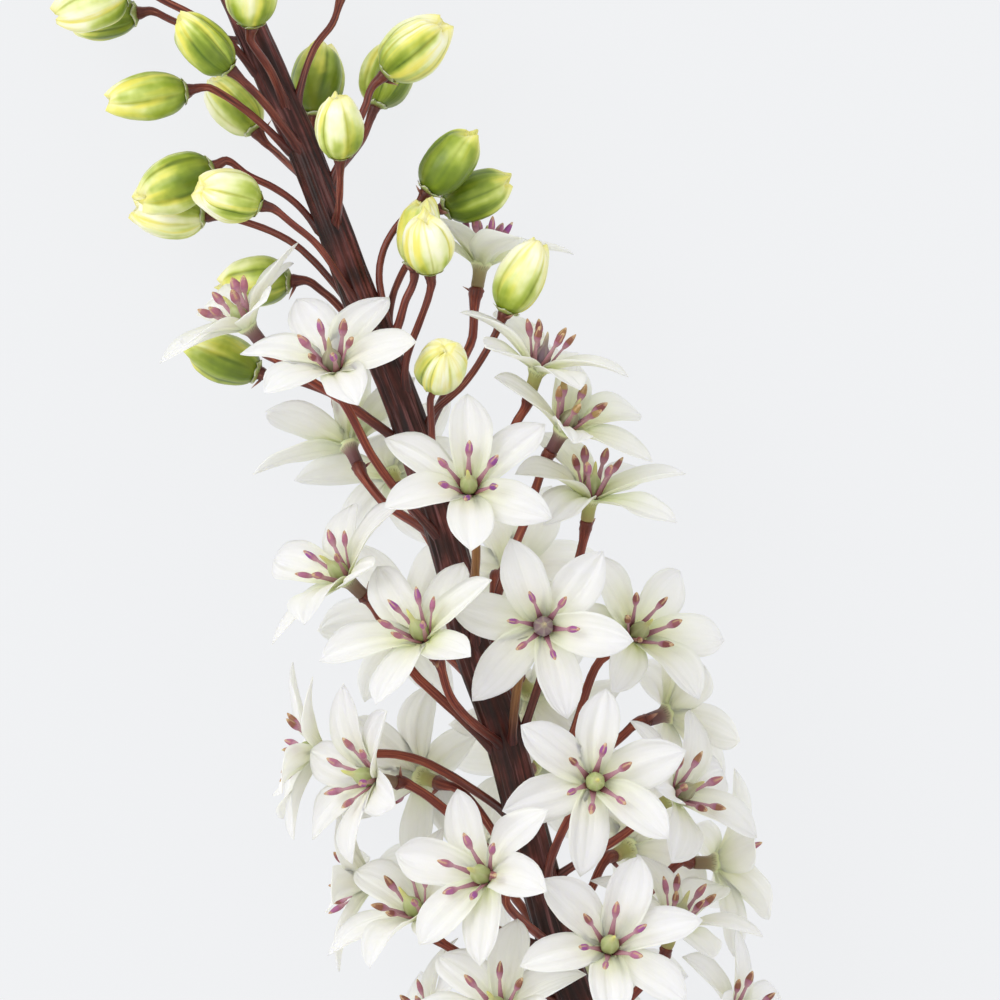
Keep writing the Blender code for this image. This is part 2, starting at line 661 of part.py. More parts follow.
def clear_petal(heart, facing, way, length, width, obstacles, name, own):
    """The petal's rings after the smallest turn that clears the other petals, or else after the largest."""
    wide, thick = width + CLEARANCE, PETAL_THICKNESS + 2 * CLEARANCE
    for short in SHORTER:
        for bend, swing in ways_round():
            aim = (heart, facing, turned_way(way, facing, bend, swing), length * short)
            rings = petal_rings(*aim, width, PETAL_THICKNESS)
            free = loft(petal_rings(*aim, width, PETAL_THICKNESS, FREE_STATIONS))
            if not obstacles.clear(free, (), own):
                continue
            if obstacles.clear(loft(petal_rings(*aim, wide, thick)), (name, own)):
                return rings, free
    return rings, free


def flower(number, bloom, line, obstacles):
    """The flower's skin, with each petal bent clear of all that is placed already."""
    draw = random.Random(number)
    name, own = f"flower_{number:02d}", f"own_{number:02d}"
    heart, facing = heart_of(bloom, line), heading(bloom.facing)
    across, over = frame_of(facing)
    roll, ways, lengths = whorl(bloom, heart, facing, across, over)
    for shape in core_shapes(heart, facing, across, over, roll, 0.0)[1:]:
        obstacles.add(own, shape)
    petals = []
    for way, length in zip(ways, lengths):
        width = PETAL_WIDTH * draw.uniform(0.94, 1.04)
        bend, swing = math.radians(draw.uniform(-1.5, 1.5)), math.radians(draw.uniform(-2, 2))
        way = turned_way(way, facing, bend, swing)
        rings, free = clear_petal(heart, facing, way, length, width, obstacles, name, own)
        obstacles.add(name, loft(rings))
        obstacles.add(own, free)
        petals.append(rings)
    return name, flower_shape(heart, facing, across, over, roll, petals)


def between(ends, t):
    return ends[0] + (ends[1] - ends[0]) * t


def small_bud(root, way, reach, length):
    """A bud of the crown on its short stalk."""
    wide, high = frame_of(way)
    base = root + way * reach
    return loft(
        [
            round_ring(root, wide, high, CROWN_STALK_RADIUS, 5),
            round_ring(base, wide, high, CROWN_STALK_RADIUS, 5),
            round_ring(base + way * length * 0.35, wide, high, length * 0.31, 5),
            round_ring(base + way * length * 0.75, wide, high, length * 0.24, 5),
            [base + way * length],
        ]
    )


def crown_shapes(foot, along):
    """The growing tip: small crowded buds on short stalks, and a tuft of green bracts."""
    across, over = frame_of(along)
    axis = []
    for t, radius in CROWN_AXIS:
        axis.append(round_ring(foot + along * t * CROWN_LENGTH, across, over, radius, 8))
    shapes = []
    for k in range(CROWN_BUDS):
        t = k / (CROWN_BUDS - 1)
        out = spoke(across, over, GOLDEN_ANGLE * k)
        lean = between(CROWN_BUD_LEAN, t)
        way = along * math.cos(lean) + out * math.sin(lean)
        root = foot + along * CROWN_LENGTH * between(CROWN_BUD_PLACE, t)
        shapes.append(small_bud(root, way, between(CROWN_BUD_REACH, t), between(CROWN_BUD_LENGTH, t)))
    for k in range(CROWN_BRACTS):
        t = k / (CROWN_BRACTS - 1)
        out = spoke(across, over, GOLDEN_ANGLE * (k + 0.4))
        lean = between(BRACT_LEAN, t)
        length = BRACT_LENGTH * (1.0 - BRACT_SHORTENING * t)
        root = foot + along * CROWN_LENGTH * between(BRACT_PLACE, t) + out * PETAL_THICKNESS / 3
        tip = root + (along * math.cos(lean) + out * math.sin(lean)) * length
        tip.z = max(tip.z, PETAL_THICKNESS)
        bend = root + along * length * 0.40 + out * length * 0.22
        sideways = -along.cross(out)
        shapes.append(loft(blade(root, bend, tip, sideways, BRACT_WIDTH, PETAL_THICKNESS, BRACT_CUP)))
    return loft(axis), shapes


def section(name, sides, groove):
    """A closed outline of radius one, every other corner sunk by the groove."""
    curve = bpy.data.curves.new(name, "CURVE")
    curve.dimensions = "2D"
    spline = curve.splines.new("POLY")
    spline.points.add(sides - 1)
    for k, point in enumerate(spline.points):
        angle = math.tau * k / sides
        radius = 1.0 if k % 2 else 1.0 - groove
        point.co = (radius * math.cos(angle), radius * math.sin(angle), 0, 1)
    spline.use_cyclic_u = True
    outline = bpy.data.objects.new(name, curve)
    outline.hide_render = True
    outline.display_type = "WIRE"
    bpy.context.scene.collection.objects.link(outline)
    return outline


def build():
    clear_scene()
    home = bpy.data.collections.new("pineapple_lily")
    bpy.context.scene.collection.children.link(home)
    stem_finish = material("burgundy stem skin", (0.055, 0.020, 0.018), 0.5)
    petal_finish = material("white petal", (0.88, 0.89, 0.84), 0.55)
    bud_finish = material("green bud", (0.36, 0.52, 0.10), 0.45)
    crown_finish = material("green crown leaf", (0.22, 0.38, 0.08), 0.5)

    line = stem_line()
    low, high = line[0].y, line[-1].y
    radii = [CUT_RADIUS + (STEM_RADIUS - CUT_RADIUS) * (spot.y - low) / (high - low) for spot in line]
    ridged = section("ridged_section", STEM_SIDES, RIDGE_DEPTH)
    stem = curve_mesh("stem_axis", line, radii, ridged)
    slim = section("stalk_section", STALK_SIDES, 0.0)

    obstacles = Obstacles()
    obstacles.add("stem", tube_shape(line, radii, CLEARANCE, 8))
    stalks = []
    for kind, blooms in (("flower", FLOWERS), ("bud", BUDS)):
        for number, bloom in enumerate(blooms, 1):
            name = f"{kind}_{number:02d}"
            heart, facing = heart_of(bloom, line), heading(bloom.facing)
            foot = NECK_LENGTH if kind == "flower" else 0.0
            seat = heart - facing * (foot + SEAT_GAP)
            points, widths = stalk_tube(bloom, seat, facing, line)
            stalks.append(curve_mesh(name + "_stalk", points, widths, slim))
            obstacles.add("stem", tube_shape(points, widths, CLEARANCE / 2))
            if kind == "bud":
                obstacles.add(name, bud_shape(heart, facing, BUD_LENGTH, BUD_RADIUS, CLEARANCE / 2))
                mesh = skin(name, bud_shape(heart, facing, BUD_LENGTH, BUD_RADIUS))
                finished(name, mesh, bud_finish, home)
            else:
                across, over = frame_of(facing)
                roll, _, _ = whorl(bloom, heart, facing, across, over)
                for shape in core_shapes(heart, facing, across, over, roll, CLEARANCE / 2):
                    obstacles.add(name, shape)
    fuse("stem", stem, stalks, stem_finish, home, "MANIFOLD")
    bpy.data.objects.remove(ridged, do_unlink=True)
    bpy.data.objects.remove(slim, do_unlink=True)

    order = sorted(range(len(FLOWERS)), key=lambda k: -FLOWERS[k].depth)
    for k in order:
        name, shape = flower(k + 1, FLOWERS[k], line, obstacles)
        finished(name, skin(name, shape), petal_finish, home)

    along = (line[-1] - line[-2]).normalized()
    axis, shapes = crown_shapes(line[-1] + along * SEAT_GAP, along)
    others = [loose(f"crown_{n}", shape) for n, shape in enumerate(shapes)]
    fuse("crown", loose("crown_axis", axis), others, crown_finish, home)


build()
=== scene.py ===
import math
import random

import bmesh
import bpy
from mathutils import Matrix, Vector, noise


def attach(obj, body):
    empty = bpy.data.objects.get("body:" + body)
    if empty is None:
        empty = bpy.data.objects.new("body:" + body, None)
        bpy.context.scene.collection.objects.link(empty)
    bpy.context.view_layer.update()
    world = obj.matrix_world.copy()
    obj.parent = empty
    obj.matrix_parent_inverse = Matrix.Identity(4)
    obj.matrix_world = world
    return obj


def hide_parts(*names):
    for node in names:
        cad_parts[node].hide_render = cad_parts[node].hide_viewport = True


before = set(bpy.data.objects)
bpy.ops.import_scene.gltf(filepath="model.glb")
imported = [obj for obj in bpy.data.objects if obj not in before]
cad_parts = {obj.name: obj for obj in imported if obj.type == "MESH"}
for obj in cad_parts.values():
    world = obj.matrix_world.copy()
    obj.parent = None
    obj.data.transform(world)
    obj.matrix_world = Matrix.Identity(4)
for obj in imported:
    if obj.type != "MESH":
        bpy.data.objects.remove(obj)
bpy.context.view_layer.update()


# The stem
# A cut flower stem of a pineapple lily: one fleshy, ribbed stalk that has turned burgundy, with a thin waxy
# bloom on it, whose mauve streaks are partly painted sheen. It grew upright, was cut at its foot with a knife,
# and lies here on its flowers.

MM = 0.001
# What one pixel of the picture measures, how far the picture is turned against the part, and the pixel at the
# part's origin
PIXEL = 0.2 * MM
SLANT = math.radians(18.66)
ORIGIN_PIXEL = (461, 600)

# The stem's radius at its crown and at its cut, how far it goes on past the picture at each end, and how high it ends
STEM_RADIUS = 0.0031
CUT_RADIUS = 0.0046
CUT_DISTANCE = 0.130
CROWN_DISTANCE = 0.013
CROWN_HEIGHT = 0.0215
STEM_SIDES = 48
STEM_RINGS = 150
# A rib comes every so many sides
RIB_SIDES = 4
# How far the ribs and the grooves between them stand from a round stem, and the share of the cut that is skin
RIB_PROUD = 1.055
RIB_SUNK = 0.925
CUT_RIM = 0.07
# Slow and quick swells of the stem: how much, how tightly they turn round it, and how many there are along it
STEM_SWELLS = ((0.07, 1.3, 16), (0.06, 5, 34))
# The lowest points stay this far over the table, and those of the cut end half as far
LEAST_GAP = 0.0001
# How near two directions and two heights have to be to count as one
SAME_WAY = 0.999
SAME_HEIGHT = 1e-4

# The bare stem below the picture: the share of its length, the step to the right, and the height of its axis
BARE_STEM = [
    (1.00, 0.0010, CUT_RADIUS), (0.80, 0.0050, 0.0105), (0.55, 0.0072, 0.0225), (0.30, 0.0062, 0.0338),
    (0.12, 0.0032, 0.0380),
]
# The stem in the picture: the pixel of its axis and the height of its axis
STEM_PIXELS = [
    ((574, 995), 0.0385), ((540, 880), 0.0385), ((505, 740), 0.0385), ((470, 640), 0.0385),
    ((457, 577), 0.0382), ((428, 480), 0.0372), ((397, 391), 0.0352), ((359, 296), 0.0322),
    ((332, 223), 0.0297), ((301, 143), 0.0268), ((266, 64), 0.0242), ((238, 0), 0.0225),
]


def turned(right, up):
    """A step in the picture, right and up, in the part's X and Y."""
    return (right * math.cos(SLANT) + up * math.sin(SLANT), up * math.cos(SLANT) - right * math.sin(SLANT))


def in_part(pixel, z=0.0):
    """The part's place under a pixel of the picture, at this height."""
    x, y = turned((pixel[0] - ORIGIN_PIXEL[0]) * PIXEL, (ORIGIN_PIXEL[1] - pixel[1]) * PIXEL)
    return Vector((x, y, z))


def smooth_points(points, per_span):
    """A Catmull-Rom curve through the points, with per_span steps from one to the next."""
    padded = [points[0] * 2 - points[1], *points, points[-1] * 2 - points[-2]]
    found = []
    for a, b, c, d in zip(padded, padded[1:], padded[2:], padded[3:]):
        for step in range(per_span):
            t = step / per_span
            square, cube = 2 * a - 5 * b + 4 * c - d, 3 * b - a - 3 * c + d
            found.append(0.5 * (2 * b + (c - a) * t + square * t**2 + cube * t**3))
    return found + [points[-1]]


def stem_line(per_span):
    """The stem's axis from its cut end to the foot of the crown."""
    shown = [in_part(pixel, height) for pixel, height in STEM_PIXELS]
    low, high = shown[0], shown[-1]
    bare = [Vector((low.x + step, low.y - CUT_DISTANCE * share, height)) for share, step, height in BARE_STEM]
    end = Vector((high.x - 0.0012, high.y + CROWN_DISTANCE, CROWN_HEIGHT))
    return smooth_points([*bare, *shown, end], per_span)


def distances(points):
    """How far along the line each of its points is."""
    run = [0.0]
    for a, b in zip(points, points[1:]):
        run.append(run[-1] + (b - a).length)
    return run


def walk(points, places):
    """The points of the line at these distances along it."""
    run = distances(points)
    found, k = [], 0
    for place in places:
        while k < len(run) - 2 and run[k + 1] < place:
            k += 1
        span = max(run[k + 1] - run[k], 1e-9)
        found.append(points[k].lerp(points[k + 1], min(1.0, max(0.0, (place - run[k]) / span))))
    return found


def carried_frames(points, across=None):
    """Each point with two directions square to the line there, which turn as little as they can."""
    frames = []
    for k, point in enumerate(points):
        along = (points[min(k + 1, len(points) - 1)] - points[max(k - 1, 0)]).normalized()
        across = along.orthogonal() if across is None else across
        across = (across - along * across.dot(along)).normalized()
        frames.append((point, across, along.cross(across)))
    return frames


def pick(piece, test, edges=False):
    """In edit mode, selects the points whose place passes the test, or the edges whose two ends do."""
    work = bmesh.from_edit_mesh(piece.data)
    for part in (*work.verts, *work.edges, *work.faces):
        part.select = False
    if edges:
        for edge in work.edges:
            edge.select = test(edge.verts[0].co, edge.verts[1].co)
    else:
        for vert in work.verts:
            vert.select = test(vert.co)
    work.select_flush_mode()
    bmesh.update_edit_mesh(piece.data)


def open_tube(name, sides, rings):
    """A tube of radius one and height one with its ends open, in edit mode."""
    bpy.ops.object.select_all(action="DESELECT")
    bpy.ops.mesh.primitive_cylinder_add(vertices=sides, radius=1, depth=1, end_fill_type="NOTHING", calc_uvs=True)
    tube = bpy.context.object
    tube.name = name
    bpy.ops.object.mode_set(mode="EDIT")
    bpy.context.tool_settings.mesh_select_mode = (False, True, False)
    pick(tube, lambda a, b: abs(a.z - b.z) > 0.5, edges=True)
    bpy.ops.mesh.subdivide(number_cuts=rings - 1)
    bpy.context.tool_settings.mesh_select_mode = (True, False, False)
    return tube


def close_ends(tube):
    """Fills both open ends of a tube, and leaves edit mode."""
    for end in (-0.5, 0.5):
        pick(tube, lambda spot: abs(spot.z - end) < SAME_HEIGHT)
        bpy.ops.mesh.edge_face_add()
    bpy.ops.object.mode_set(mode="OBJECT")
    bpy.ops.object.shade_smooth()


def pull_side(tube, side, sides, proud, lowest):
    """Pulls one lengthwise row of a tube's points out or in, above the height lowest."""
    angle = math.tau * side / sides
    toward = Vector((math.sin(angle), math.cos(angle)))
    pick(tube, lambda spot: spot.z > lowest and spot.xy.normalized().dot(toward) > SAME_WAY)
    bpy.ops.transform.resize(value=(proud, proud, 1), center_override=(0, 0, 0))


def bent(master, place):
    """The master's mesh copied, with each point moved to its own place."""
    mesh = master.data.copy()
    for vert in mesh.vertices:
        vert.co = place(vert.co)
    return mesh


def with_straight(mesh, master, radius, start, length):
    """The mesh with the place of each point on the straight stem, by which the skin's fibres follow its bends."""
    values = mesh.attributes.new("straight", "FLOAT_VECTOR", "POINT")
    for value, vert in zip(values.data, master.data.vertices):
        value.vector = (vert.co.x * radius, vert.co.y * radius, start + (vert.co.z + 0.5) * length)
    return mesh


def over_table(spot, gap=LEAST_GAP):
    """The place itself, or the one this far over the table if it would be lower."""
    return Vector((spot.x, spot.y, max(spot.z, gap)))


def put_away(*masters):
    """Removes masters that have all been copied."""
    for master in masters:
        bpy.data.objects.remove(master, do_unlink=True)


def piece_of(name, meshes, finishes, slot, *nodes):
    """One piece from these meshes, which stands for the CAD nodes."""
    work = bmesh.new()
    for mesh in meshes:
        work.from_mesh(mesh)
        bpy.data.meshes.remove(mesh)
    whole = bpy.data.meshes.new(name)
    work.to_mesh(whole)
    work.free()
    for finish in finishes:
        whole.materials.append(finish)
    piece = bpy.data.objects.new(name, whole)
    bpy.context.scene.collection.objects.link(piece)
    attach(piece, "root")
    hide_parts(*nodes)
    return piece


def linear(hex_colour):
    """An sRGB hex value as the linear colour that a shader takes."""
    parts = [int(hex_colour[k : k + 2], 16) / 255 for k in (1, 3, 5)]
    return (*[part / 12.92 if part <= 0.04045 else ((part + 0.055) / 1.055) ** 2.4 for part in parts], 1.0)


def output_of(source):
    """A socket as it is, or a node's first output in use."""
    if isinstance(source, bpy.types.NodeSocket):
        return source
    return next(each for each in source.outputs if each.enabled)


def add_node(tree, kind, settings, links=()):
    """Adds a node with its settings, the stops of a ramp among them, and links sockets or nodes to its inputs."""
    made = tree.nodes.new("ShaderNode" + kind)
    for key, value in settings.items():
        if key == "stops":
            while len(made.color_ramp.elements) < len(value):
                made.color_ramp.elements.new(1.0)
            for element, (place, colour) in zip(made.color_ramp.elements, value):
                element.position = place
                element.color = linear(colour) if isinstance(colour, str) else (colour, colour, colour, 1)
        elif isinstance(key, int) or key in made.inputs:
            made.inputs[key].default_value = value
        else:
            setattr(made, key, value)
    for key, source in dict(links).items():
        tree.links.new(output_of(source), made.inputs[key])
    return made


def new_material(name, settings):
    """A material with one Principled shader, and the shader's own plain settings."""
    made = bpy.data.materials.new(name)
    made.use_nodes = True
    shader = made.node_tree.nodes["Principled BSDF"]
    for key, value in settings.items():
        shader.inputs[key].default_value = value
    return made, made.node_tree, shader


def dress(tree, shader, colour, height, strength, depth):
    """Gives the shader its colour, and the relief that a height pattern presses into it."""
    relief = add_node(tree, "Bump", {"Strength": strength, "Distance": depth}, {"Height": height})
    tree.links.new(relief.outputs["Normal"], shader.inputs["Normal"])
    tree.links.new(output_of(colour), shader.inputs["Base Color"])


# Stem skin: fleshy plant skin over lengthwise fibres. The fibres are about 0.15 mm apart, drawn 1 mm apart so that
# they show, and a waxy bloom lightens some of them to a dull mauve. These mauve streaks are partly painted sheen
stem_skin_finish, tree, shader = new_material("burgundy stem skin", {
    "Roughness": 0.42, "Coat Weight": 0.06, "Coat Roughness": 0.35, "Specular IOR Level": 0.26,
})
place = add_node(tree, "TexCoord", {})
straight = add_node(tree, "Attribute", {"attribute_name": "straight"})
stretch = add_node(tree, "Mapping", {"Scale": (1.0, 1.0, 0.05)}, {"Vector": straight.outputs["Vector"]})
fibres = add_node(tree, "TexNoise", {"Scale": 1 / (1.0 * MM), "Detail": 4.0, "Roughness": 0.58}, {"Vector": stretch})
patches = add_node(tree, "TexNoise", {"Scale": 1 / (7 * MM), "Detail": 3.0}, {"Vector": place.outputs["Object"]})
both = add_node(tree, "Math", {"operation": "MULTIPLY_ADD", 1: 0.52, 2: 0.0}, {0: fibres})
total = add_node(tree, "Math", {"operation": "MULTIPLY_ADD", 1: 0.48}, {0: patches, 2: both})
skin_colour = add_node(
    tree, "ValToRGB",
    {"stops": [(0.36, "#190705"), (0.44, "#2A0E0A"), (0.51, "#3D1813"), (0.58, "#572722"), (0.68, "#7C4541")]},
    {"Fac": total},
)
# Waxy bloom and painted sheen together: dull mauve streaks along the fibres
bloom_and_sheen_streaks = add_node(tree, "TexNoise", {"Scale": 1 / (0.9 * MM), "Detail": 5.0, "Roughness": 0.62},
                         {"Vector": stretch})
bloom_and_sheen_share = add_node(tree, "ValToRGB", {"stops": [(0.56, 0.0), (0.64, 0.28), (0.76, 0.62)]}, {"Fac": bloom_and_sheen_streaks})
bloomed_and_sheened = add_node(tree, "Mix", {"data_type": "RGBA", 7: linear("#A0686A")}, {0: bloom_and_sheen_share, 6: skin_colour})
dress(tree, shader, bloomed_and_sheened, fibres, 0.6, 0.25 * MM)

# Cut flesh: pale green pith with darker strands 0.7 mm apart, dried a little brown by the air
cut_finish, tree, shader = new_material("cut stem flesh", {
    "Roughness": 0.6, "Subsurface Weight": 0.1, "Subsurface Scale": 0.8 * MM,
})
place = add_node(tree, "TexCoord", {})
cells = add_node(tree, "TexVoronoi", {"Scale": 1 / (0.7 * MM)}, {"Vector": place.outputs["Object"]})
flesh = add_node(tree, "ValToRGB", {"stops": [(0.05, "#8C7A4A"), (0.30, "#C7C08C"), (0.75, "#DDDBB4")]},
                 {"Fac": cells})
dress(tree, shader, flesh, cells, 0.5, 0.2 * MM)

line = stem_line(2)
fine_line = stem_line(10)
stem_length = distances(fine_line)[-1]


def stem_radius(share):
    """The stem narrows evenly from its cut to its crown."""
    return CUT_RADIUS + (STEM_RADIUS - CUT_RADIUS) * share


def ribbed_tube(name, rings, lowest):
    """A closed tube with the stem's ribs, which begin above the height lowest."""
    tube = open_tube(name, STEM_SIDES, rings)
    for side in range(0, STEM_SIDES, RIB_SIDES):
        pull_side(tube, side, STEM_SIDES, RIB_PROUD, lowest)
        pull_side(tube, side + RIB_SIDES // 2, STEM_SIDES, RIB_SUNK, lowest)
    close_ends(tube)
    for face in tube.data.polygons:
        face.use_smooth = len(face.vertices) == 4
    return tube


def stem_unevenness(spot, share):
    """How much thicker the stem is at a point of its skin than an even one."""
    uneven = 1
    for amount, tight, swells in STEM_SWELLS:
        uneven += amount * noise.noise(Vector((spot.x * tight, spot.y * tight, share * swells)))
    return uneven


# The lowest ring of the stem stays round, because the knife has pressed its ribs flat
stem_tube = ribbed_tube("stem_tube", STEM_RINGS, SAME_HEIGHT - 0.5)
bpy.ops.object.mode_set(mode="EDIT")
pick(stem_tube, lambda spot: abs(spot.z + 0.5) < SAME_HEIGHT)
bpy.ops.mesh.inset(thickness=CUT_RIM)
bpy.ops.object.mode_set(mode="OBJECT")
for face in stem_tube.data.polygons:
    if len(face.vertices) > 4 and face.center.z < 0:
        face.material_index = 1
stem_frames = carried_frames(walk(fine_line, [stem_length * k / STEM_RINGS for k in range(STEM_RINGS + 1)]),
                             Vector((1, 0, 0)))


def on_stem(spot):
    """The place on the bent stem of a point of the straight one."""
    share = spot.z + 0.5
    centre, across, over = stem_frames[round(share * STEM_RINGS)]
    way = across * spot.x + over * spot.y
    return over_table(centre + way * stem_radius(share) * stem_unevenness(spot, share), LEAST_GAP / 2)


stem_mesh = with_straight(bent(stem_tube, on_stem), stem_tube, STEM_RADIUS, 0.0, stem_length)
piece_of("stem_skin", [stem_mesh], [stem_skin_finish, cut_finish], "stem", "stem")
put_away(stem_tube)


# The flower stalks
# Each bloom stands on its own smooth round stalk, about 2 mm thick. Its foot runs down the stem as a rib before
# it sinks in, and its end swells to a knob that the bloom sits on.

STALK_SIDES = 12
STALK_RINGS = 30
STALK_RADIUS = {"flower": 0.00084, "bud": 0.00074}
# How far down the stem a stalk's foot runs as a rib
STALK_FOOT = 0.0068
# How far from the stem's axis the foot's three points lie, in radii of the stem
STALK_SINK = (0.42, 0.64, 0.94)
# The foot's radius at its low end, how much it swells as it leaves the stem, and how soon the swell is gone
FOOT_TIP = 0.35 * MM
FOOT_SWELL = 0.40 * MM
FOOT_SWELL_RUN = 1.8 * MM
STALK_LUMPS = 0.11
# A stalk that the picture hides leaves the stem this far below its bloom, and bows out by this share of its reach
STALK_DROP = 0.018
STALK_BOW = 0.10
# A pixel of the stalk that is farther out than this share of its reach belongs to the knob
STALK_CLIMB_END = 0.93
# The last, straight run of the stalk, the run that swells to the knob, and the share of the rings that it takes
KNOB_LENGTH = 0.0037
KNOB_RUN = 0.0046
KNOB_SHARE = 0.30
# From the seat of a flower on its stalk up to its heart
NECK_LENGTH = 0.005
# The steps from one point of a stalk's route to the next, and how often the route is evened out
ROUTE_STEPS = 8
EVENING = 14
# How far apart the tints lie in the patterns, so that no two pieces show the same part of one
TINT_SPREAD = 37.0
# From the seat down the stalk: distance and radius in millimetres
KNOB_STATIONS = {
    "flower": ((0.0, 1.22), (0.15, 1.50), (0.6, 1.56), (1.1, 1.36), (1.7, 1.44), (2.4, 1.20), (4.6, 0.90)),
    "bud": ((0.0, 1.30), (0.2, 1.45), (0.6, 1.36), (1.5, 1.08), (2.8, 0.88), (4.6, 0.72)),
}

# A bloom: the picture's pixel of its heart, its depth over the stem's axis in metres, the way it faces (right,
# up, out of the picture), and the pixels its stalk passes on its way down
FLOWERS = [
    ((247, 325), 0.006, (-0.61, 0.76, 0.20), [(273, 348), (330, 392), (400, 425)]),
    ((335, 369), 0.026, (-0.20, 0.75, 0.63), [(354, 419), (369, 451), (393, 486), (430, 520)]),
    ((538, 369), 0.006, (0.30, 0.93, 0.15), [(524, 405), (516, 422), (500, 460), (445, 530)]),
    ((481, 262), -0.012, (0.15, 0.95, -0.10), [(477, 304), (473, 335), (466, 353), (405, 420)]),
    ((348, 445), -0.015, (-0.35, 0.75, -0.50), [(362, 470), (380, 499), (388, 507), (440, 550)]),
    ((390, 474), -0.026, (-0.30, 0.50, -0.80), []),
    ((469, 490), 0.029, (0.00, 0.50, 0.86), [(477, 540), (474, 590), (470, 640)]),
    ((563, 430), 0.008, (0.45, 0.80, 0.35), [(547, 465), (527, 517), (519, 536), (500, 587), (482, 660)]),
    ((591, 497), 0.005, (0.15, 0.90, 0.35), [(583, 542), (578, 563), (560, 620), (500, 720)]),
    ((346, 578), 0.010, (-0.65, 0.65, 0.40), [(372, 612), (409, 669), (433, 691), (490, 715)]),
    ((424, 637), 0.028, (-0.40, 0.65, 0.60), [(449, 696), (473, 723), (507, 750)]),
    ((543, 626), 0.027, (0.00, 0.05, 1.00), [(520, 665), (502, 730)]),
    ((634, 635), 0.007, (0.50, 0.40, 0.77), [(597, 663), (585, 695), (571, 741), (530, 830)]),
    ((374, 778), 0.010, (-0.80, 0.15, 0.50), [(413, 792), (447, 810), (535, 865)]),
    ((320, 752), -0.008, (-0.95, 0.10, 0.00), [(380, 754), (429, 762), (525, 815)]),
    ((421, 778), -0.014, (-0.60, 0.20, -0.75), [(442, 784), (470, 797), (530, 845)]),
    ((593, 781), 0.027, (0.15, 0.12, 0.98), [(575, 805), (553, 850), (545, 900)]),
    ((668, 714), -0.008, (0.75, 0.25, -0.50), [(643, 725), (619, 740), (530, 830)]),
    ((676, 796), 0.007, (0.75, 0.42, 0.50), [(650, 812), (625, 835), (545, 895)]),
    ((717, 864), -0.013, (0.85, 0.00, -0.35), [(686, 884), (640, 905), (558, 960)]),
    ((486, 875), 0.028, (-0.50, 0.30, 0.80), [(505, 905), (550, 950)]),
    ((419, 914), 0.008, (-0.50, 0.65, 0.55), [(440, 935), (490, 970), (575, 1015)]),
    ((370, 884), -0.008, (-0.90, 0.10, -0.10), [(400, 890), (470, 920), (555, 965)]),
    ((608, 945), 0.029, (0.10, 0.35, 0.93), [(602, 985), (588, 1040)]),
    ((675, 925), 0.003, (0.30, 0.80, 0.30), [(662, 960), (588, 1045)]),
    ((500, 1010), 0.024, (-0.30, 0.60, 0.70), [(520, 1040), (595, 1095)]),
    ((430, 1030), 0.000, (-0.80, 0.50, 0.20), [(460, 1045), (598, 1105)]),
    ((530, 693), -0.018, (0.40, -0.50, -0.75), [(515, 688), (505, 742)]),
    ((630, 850), -0.019, (0.60, 0.30, -0.75), [(610, 860), (558, 950)]),
    ((735, 1020), 0.003, (0.70, 0.50, 0.35), [(705, 1040), (602, 1110)]),
    ((509, 570), -0.027, (0.35, 0.25, -0.90), []),
    ((410, 625), -0.027, (-0.35, 0.20, -0.90), []),
    ((532, 768), -0.029, (0.10, 0.10, -1.00), []),
    ((472, 862), -0.027, (-0.40, 0.10, -0.90), []),
    ((594, 985), -0.029, (0.20, 0.20, -0.95), []),
    ((690, 1125), 0.010, (0.70, 0.35, 0.50), [(660, 1140), (615, 1170)]),
]
BUDS = [
    ((125, -8), 0.004, (-0.94, -0.33, 0.10), [(160, -2), (215, 25), (262, 60)]),
    ((135, 10), -0.007, (-0.97, -0.10, -0.20), [(172, 19), (228, 38), (250, 48)]),
    ((230, 69), 0.014, (-0.73, 0.67, 0.15), [(264, 102), (303, 140)]),
    ((186, 89), 0.004, (-0.98, -0.18, 0.10), [(215, 89), (250, 112), (303, 145)]),
    ((254, 128), -0.016, (-0.60, 0.75, -0.25), [(275, 150), (318, 195)]),
    ((312, 112), -0.019, (0.08, 0.97, -0.10), [(314, 150), (320, 200)]),
    ((340, 158), 0.017, (0.00, 0.90, 0.43), [(339, 207), (336, 240)]),
    ((385, 73), 0.002, (0.73, 0.67, 0.10), [(367, 97), (364, 108), (325, 195)]),
    ((374, 103), -0.016, (0.35, 0.90, -0.20), [(360, 140), (325, 200)]),
    ((251, 26), 0.014, (0.00, 0.95, 0.30), [(259, 40), (269, 66), (283, 100)]),
    ((212, 166), 0.002, (-0.92, -0.38, 0.10), [(245, 174), (267, 183), (296, 202), (330, 235)]),
    ((204, 214), -0.009, (-0.97, 0.05, -0.20), [(250, 222), (300, 245), (345, 285)]),
    ((260, 205), 0.013, (-0.93, 0.30, 0.25), [(294, 226), (319, 245), (350, 285)]),
    ((427, 191), 0.002, (0.60, 0.80, 0.05), [(414, 198), (392, 230), (376, 274), (372, 320)]),
    ((443, 207), -0.008, (0.92, 0.35, 0.00), [(425, 235), (403, 268), (389, 306), (378, 345)]),
    ((430, 273), 0.014, (-0.05, 0.90, 0.42), [(424, 290), (421, 319), (405, 360), (395, 385)]),
    ((415, 266), 0.004, (0.10, 0.97, 0.05), [(405, 300), (399, 325), (390, 365)]),
    ((505, 312), 0.006, (0.40, 0.90, 0.10), [(492, 341), (464, 386), (432, 411), (408, 425)]),
    ((438, 382), 0.019, (0.08, 0.42, 0.90), [(430, 397), (432, 430), (425, 470)]),
    ((290, 280), -0.008, (-0.95, 0.00, -0.15), [(300, 284), (319, 289), (338, 304), (362, 325)]),
    ((258, 372), -0.008, (-0.92, 0.37, -0.10), [(295, 380), (345, 400), (410, 435)]),
    ((343, -12), 0.003, (0.30, 0.95, 0.05), [(331, 25), (312, 46), (288, 85)]),
]


def heading(facing):
    """The way a bloom faces, from the picture's right, up and out to the part's axes."""
    right, up, out = facing
    return Vector((*turned(right, up), out)).normalized()


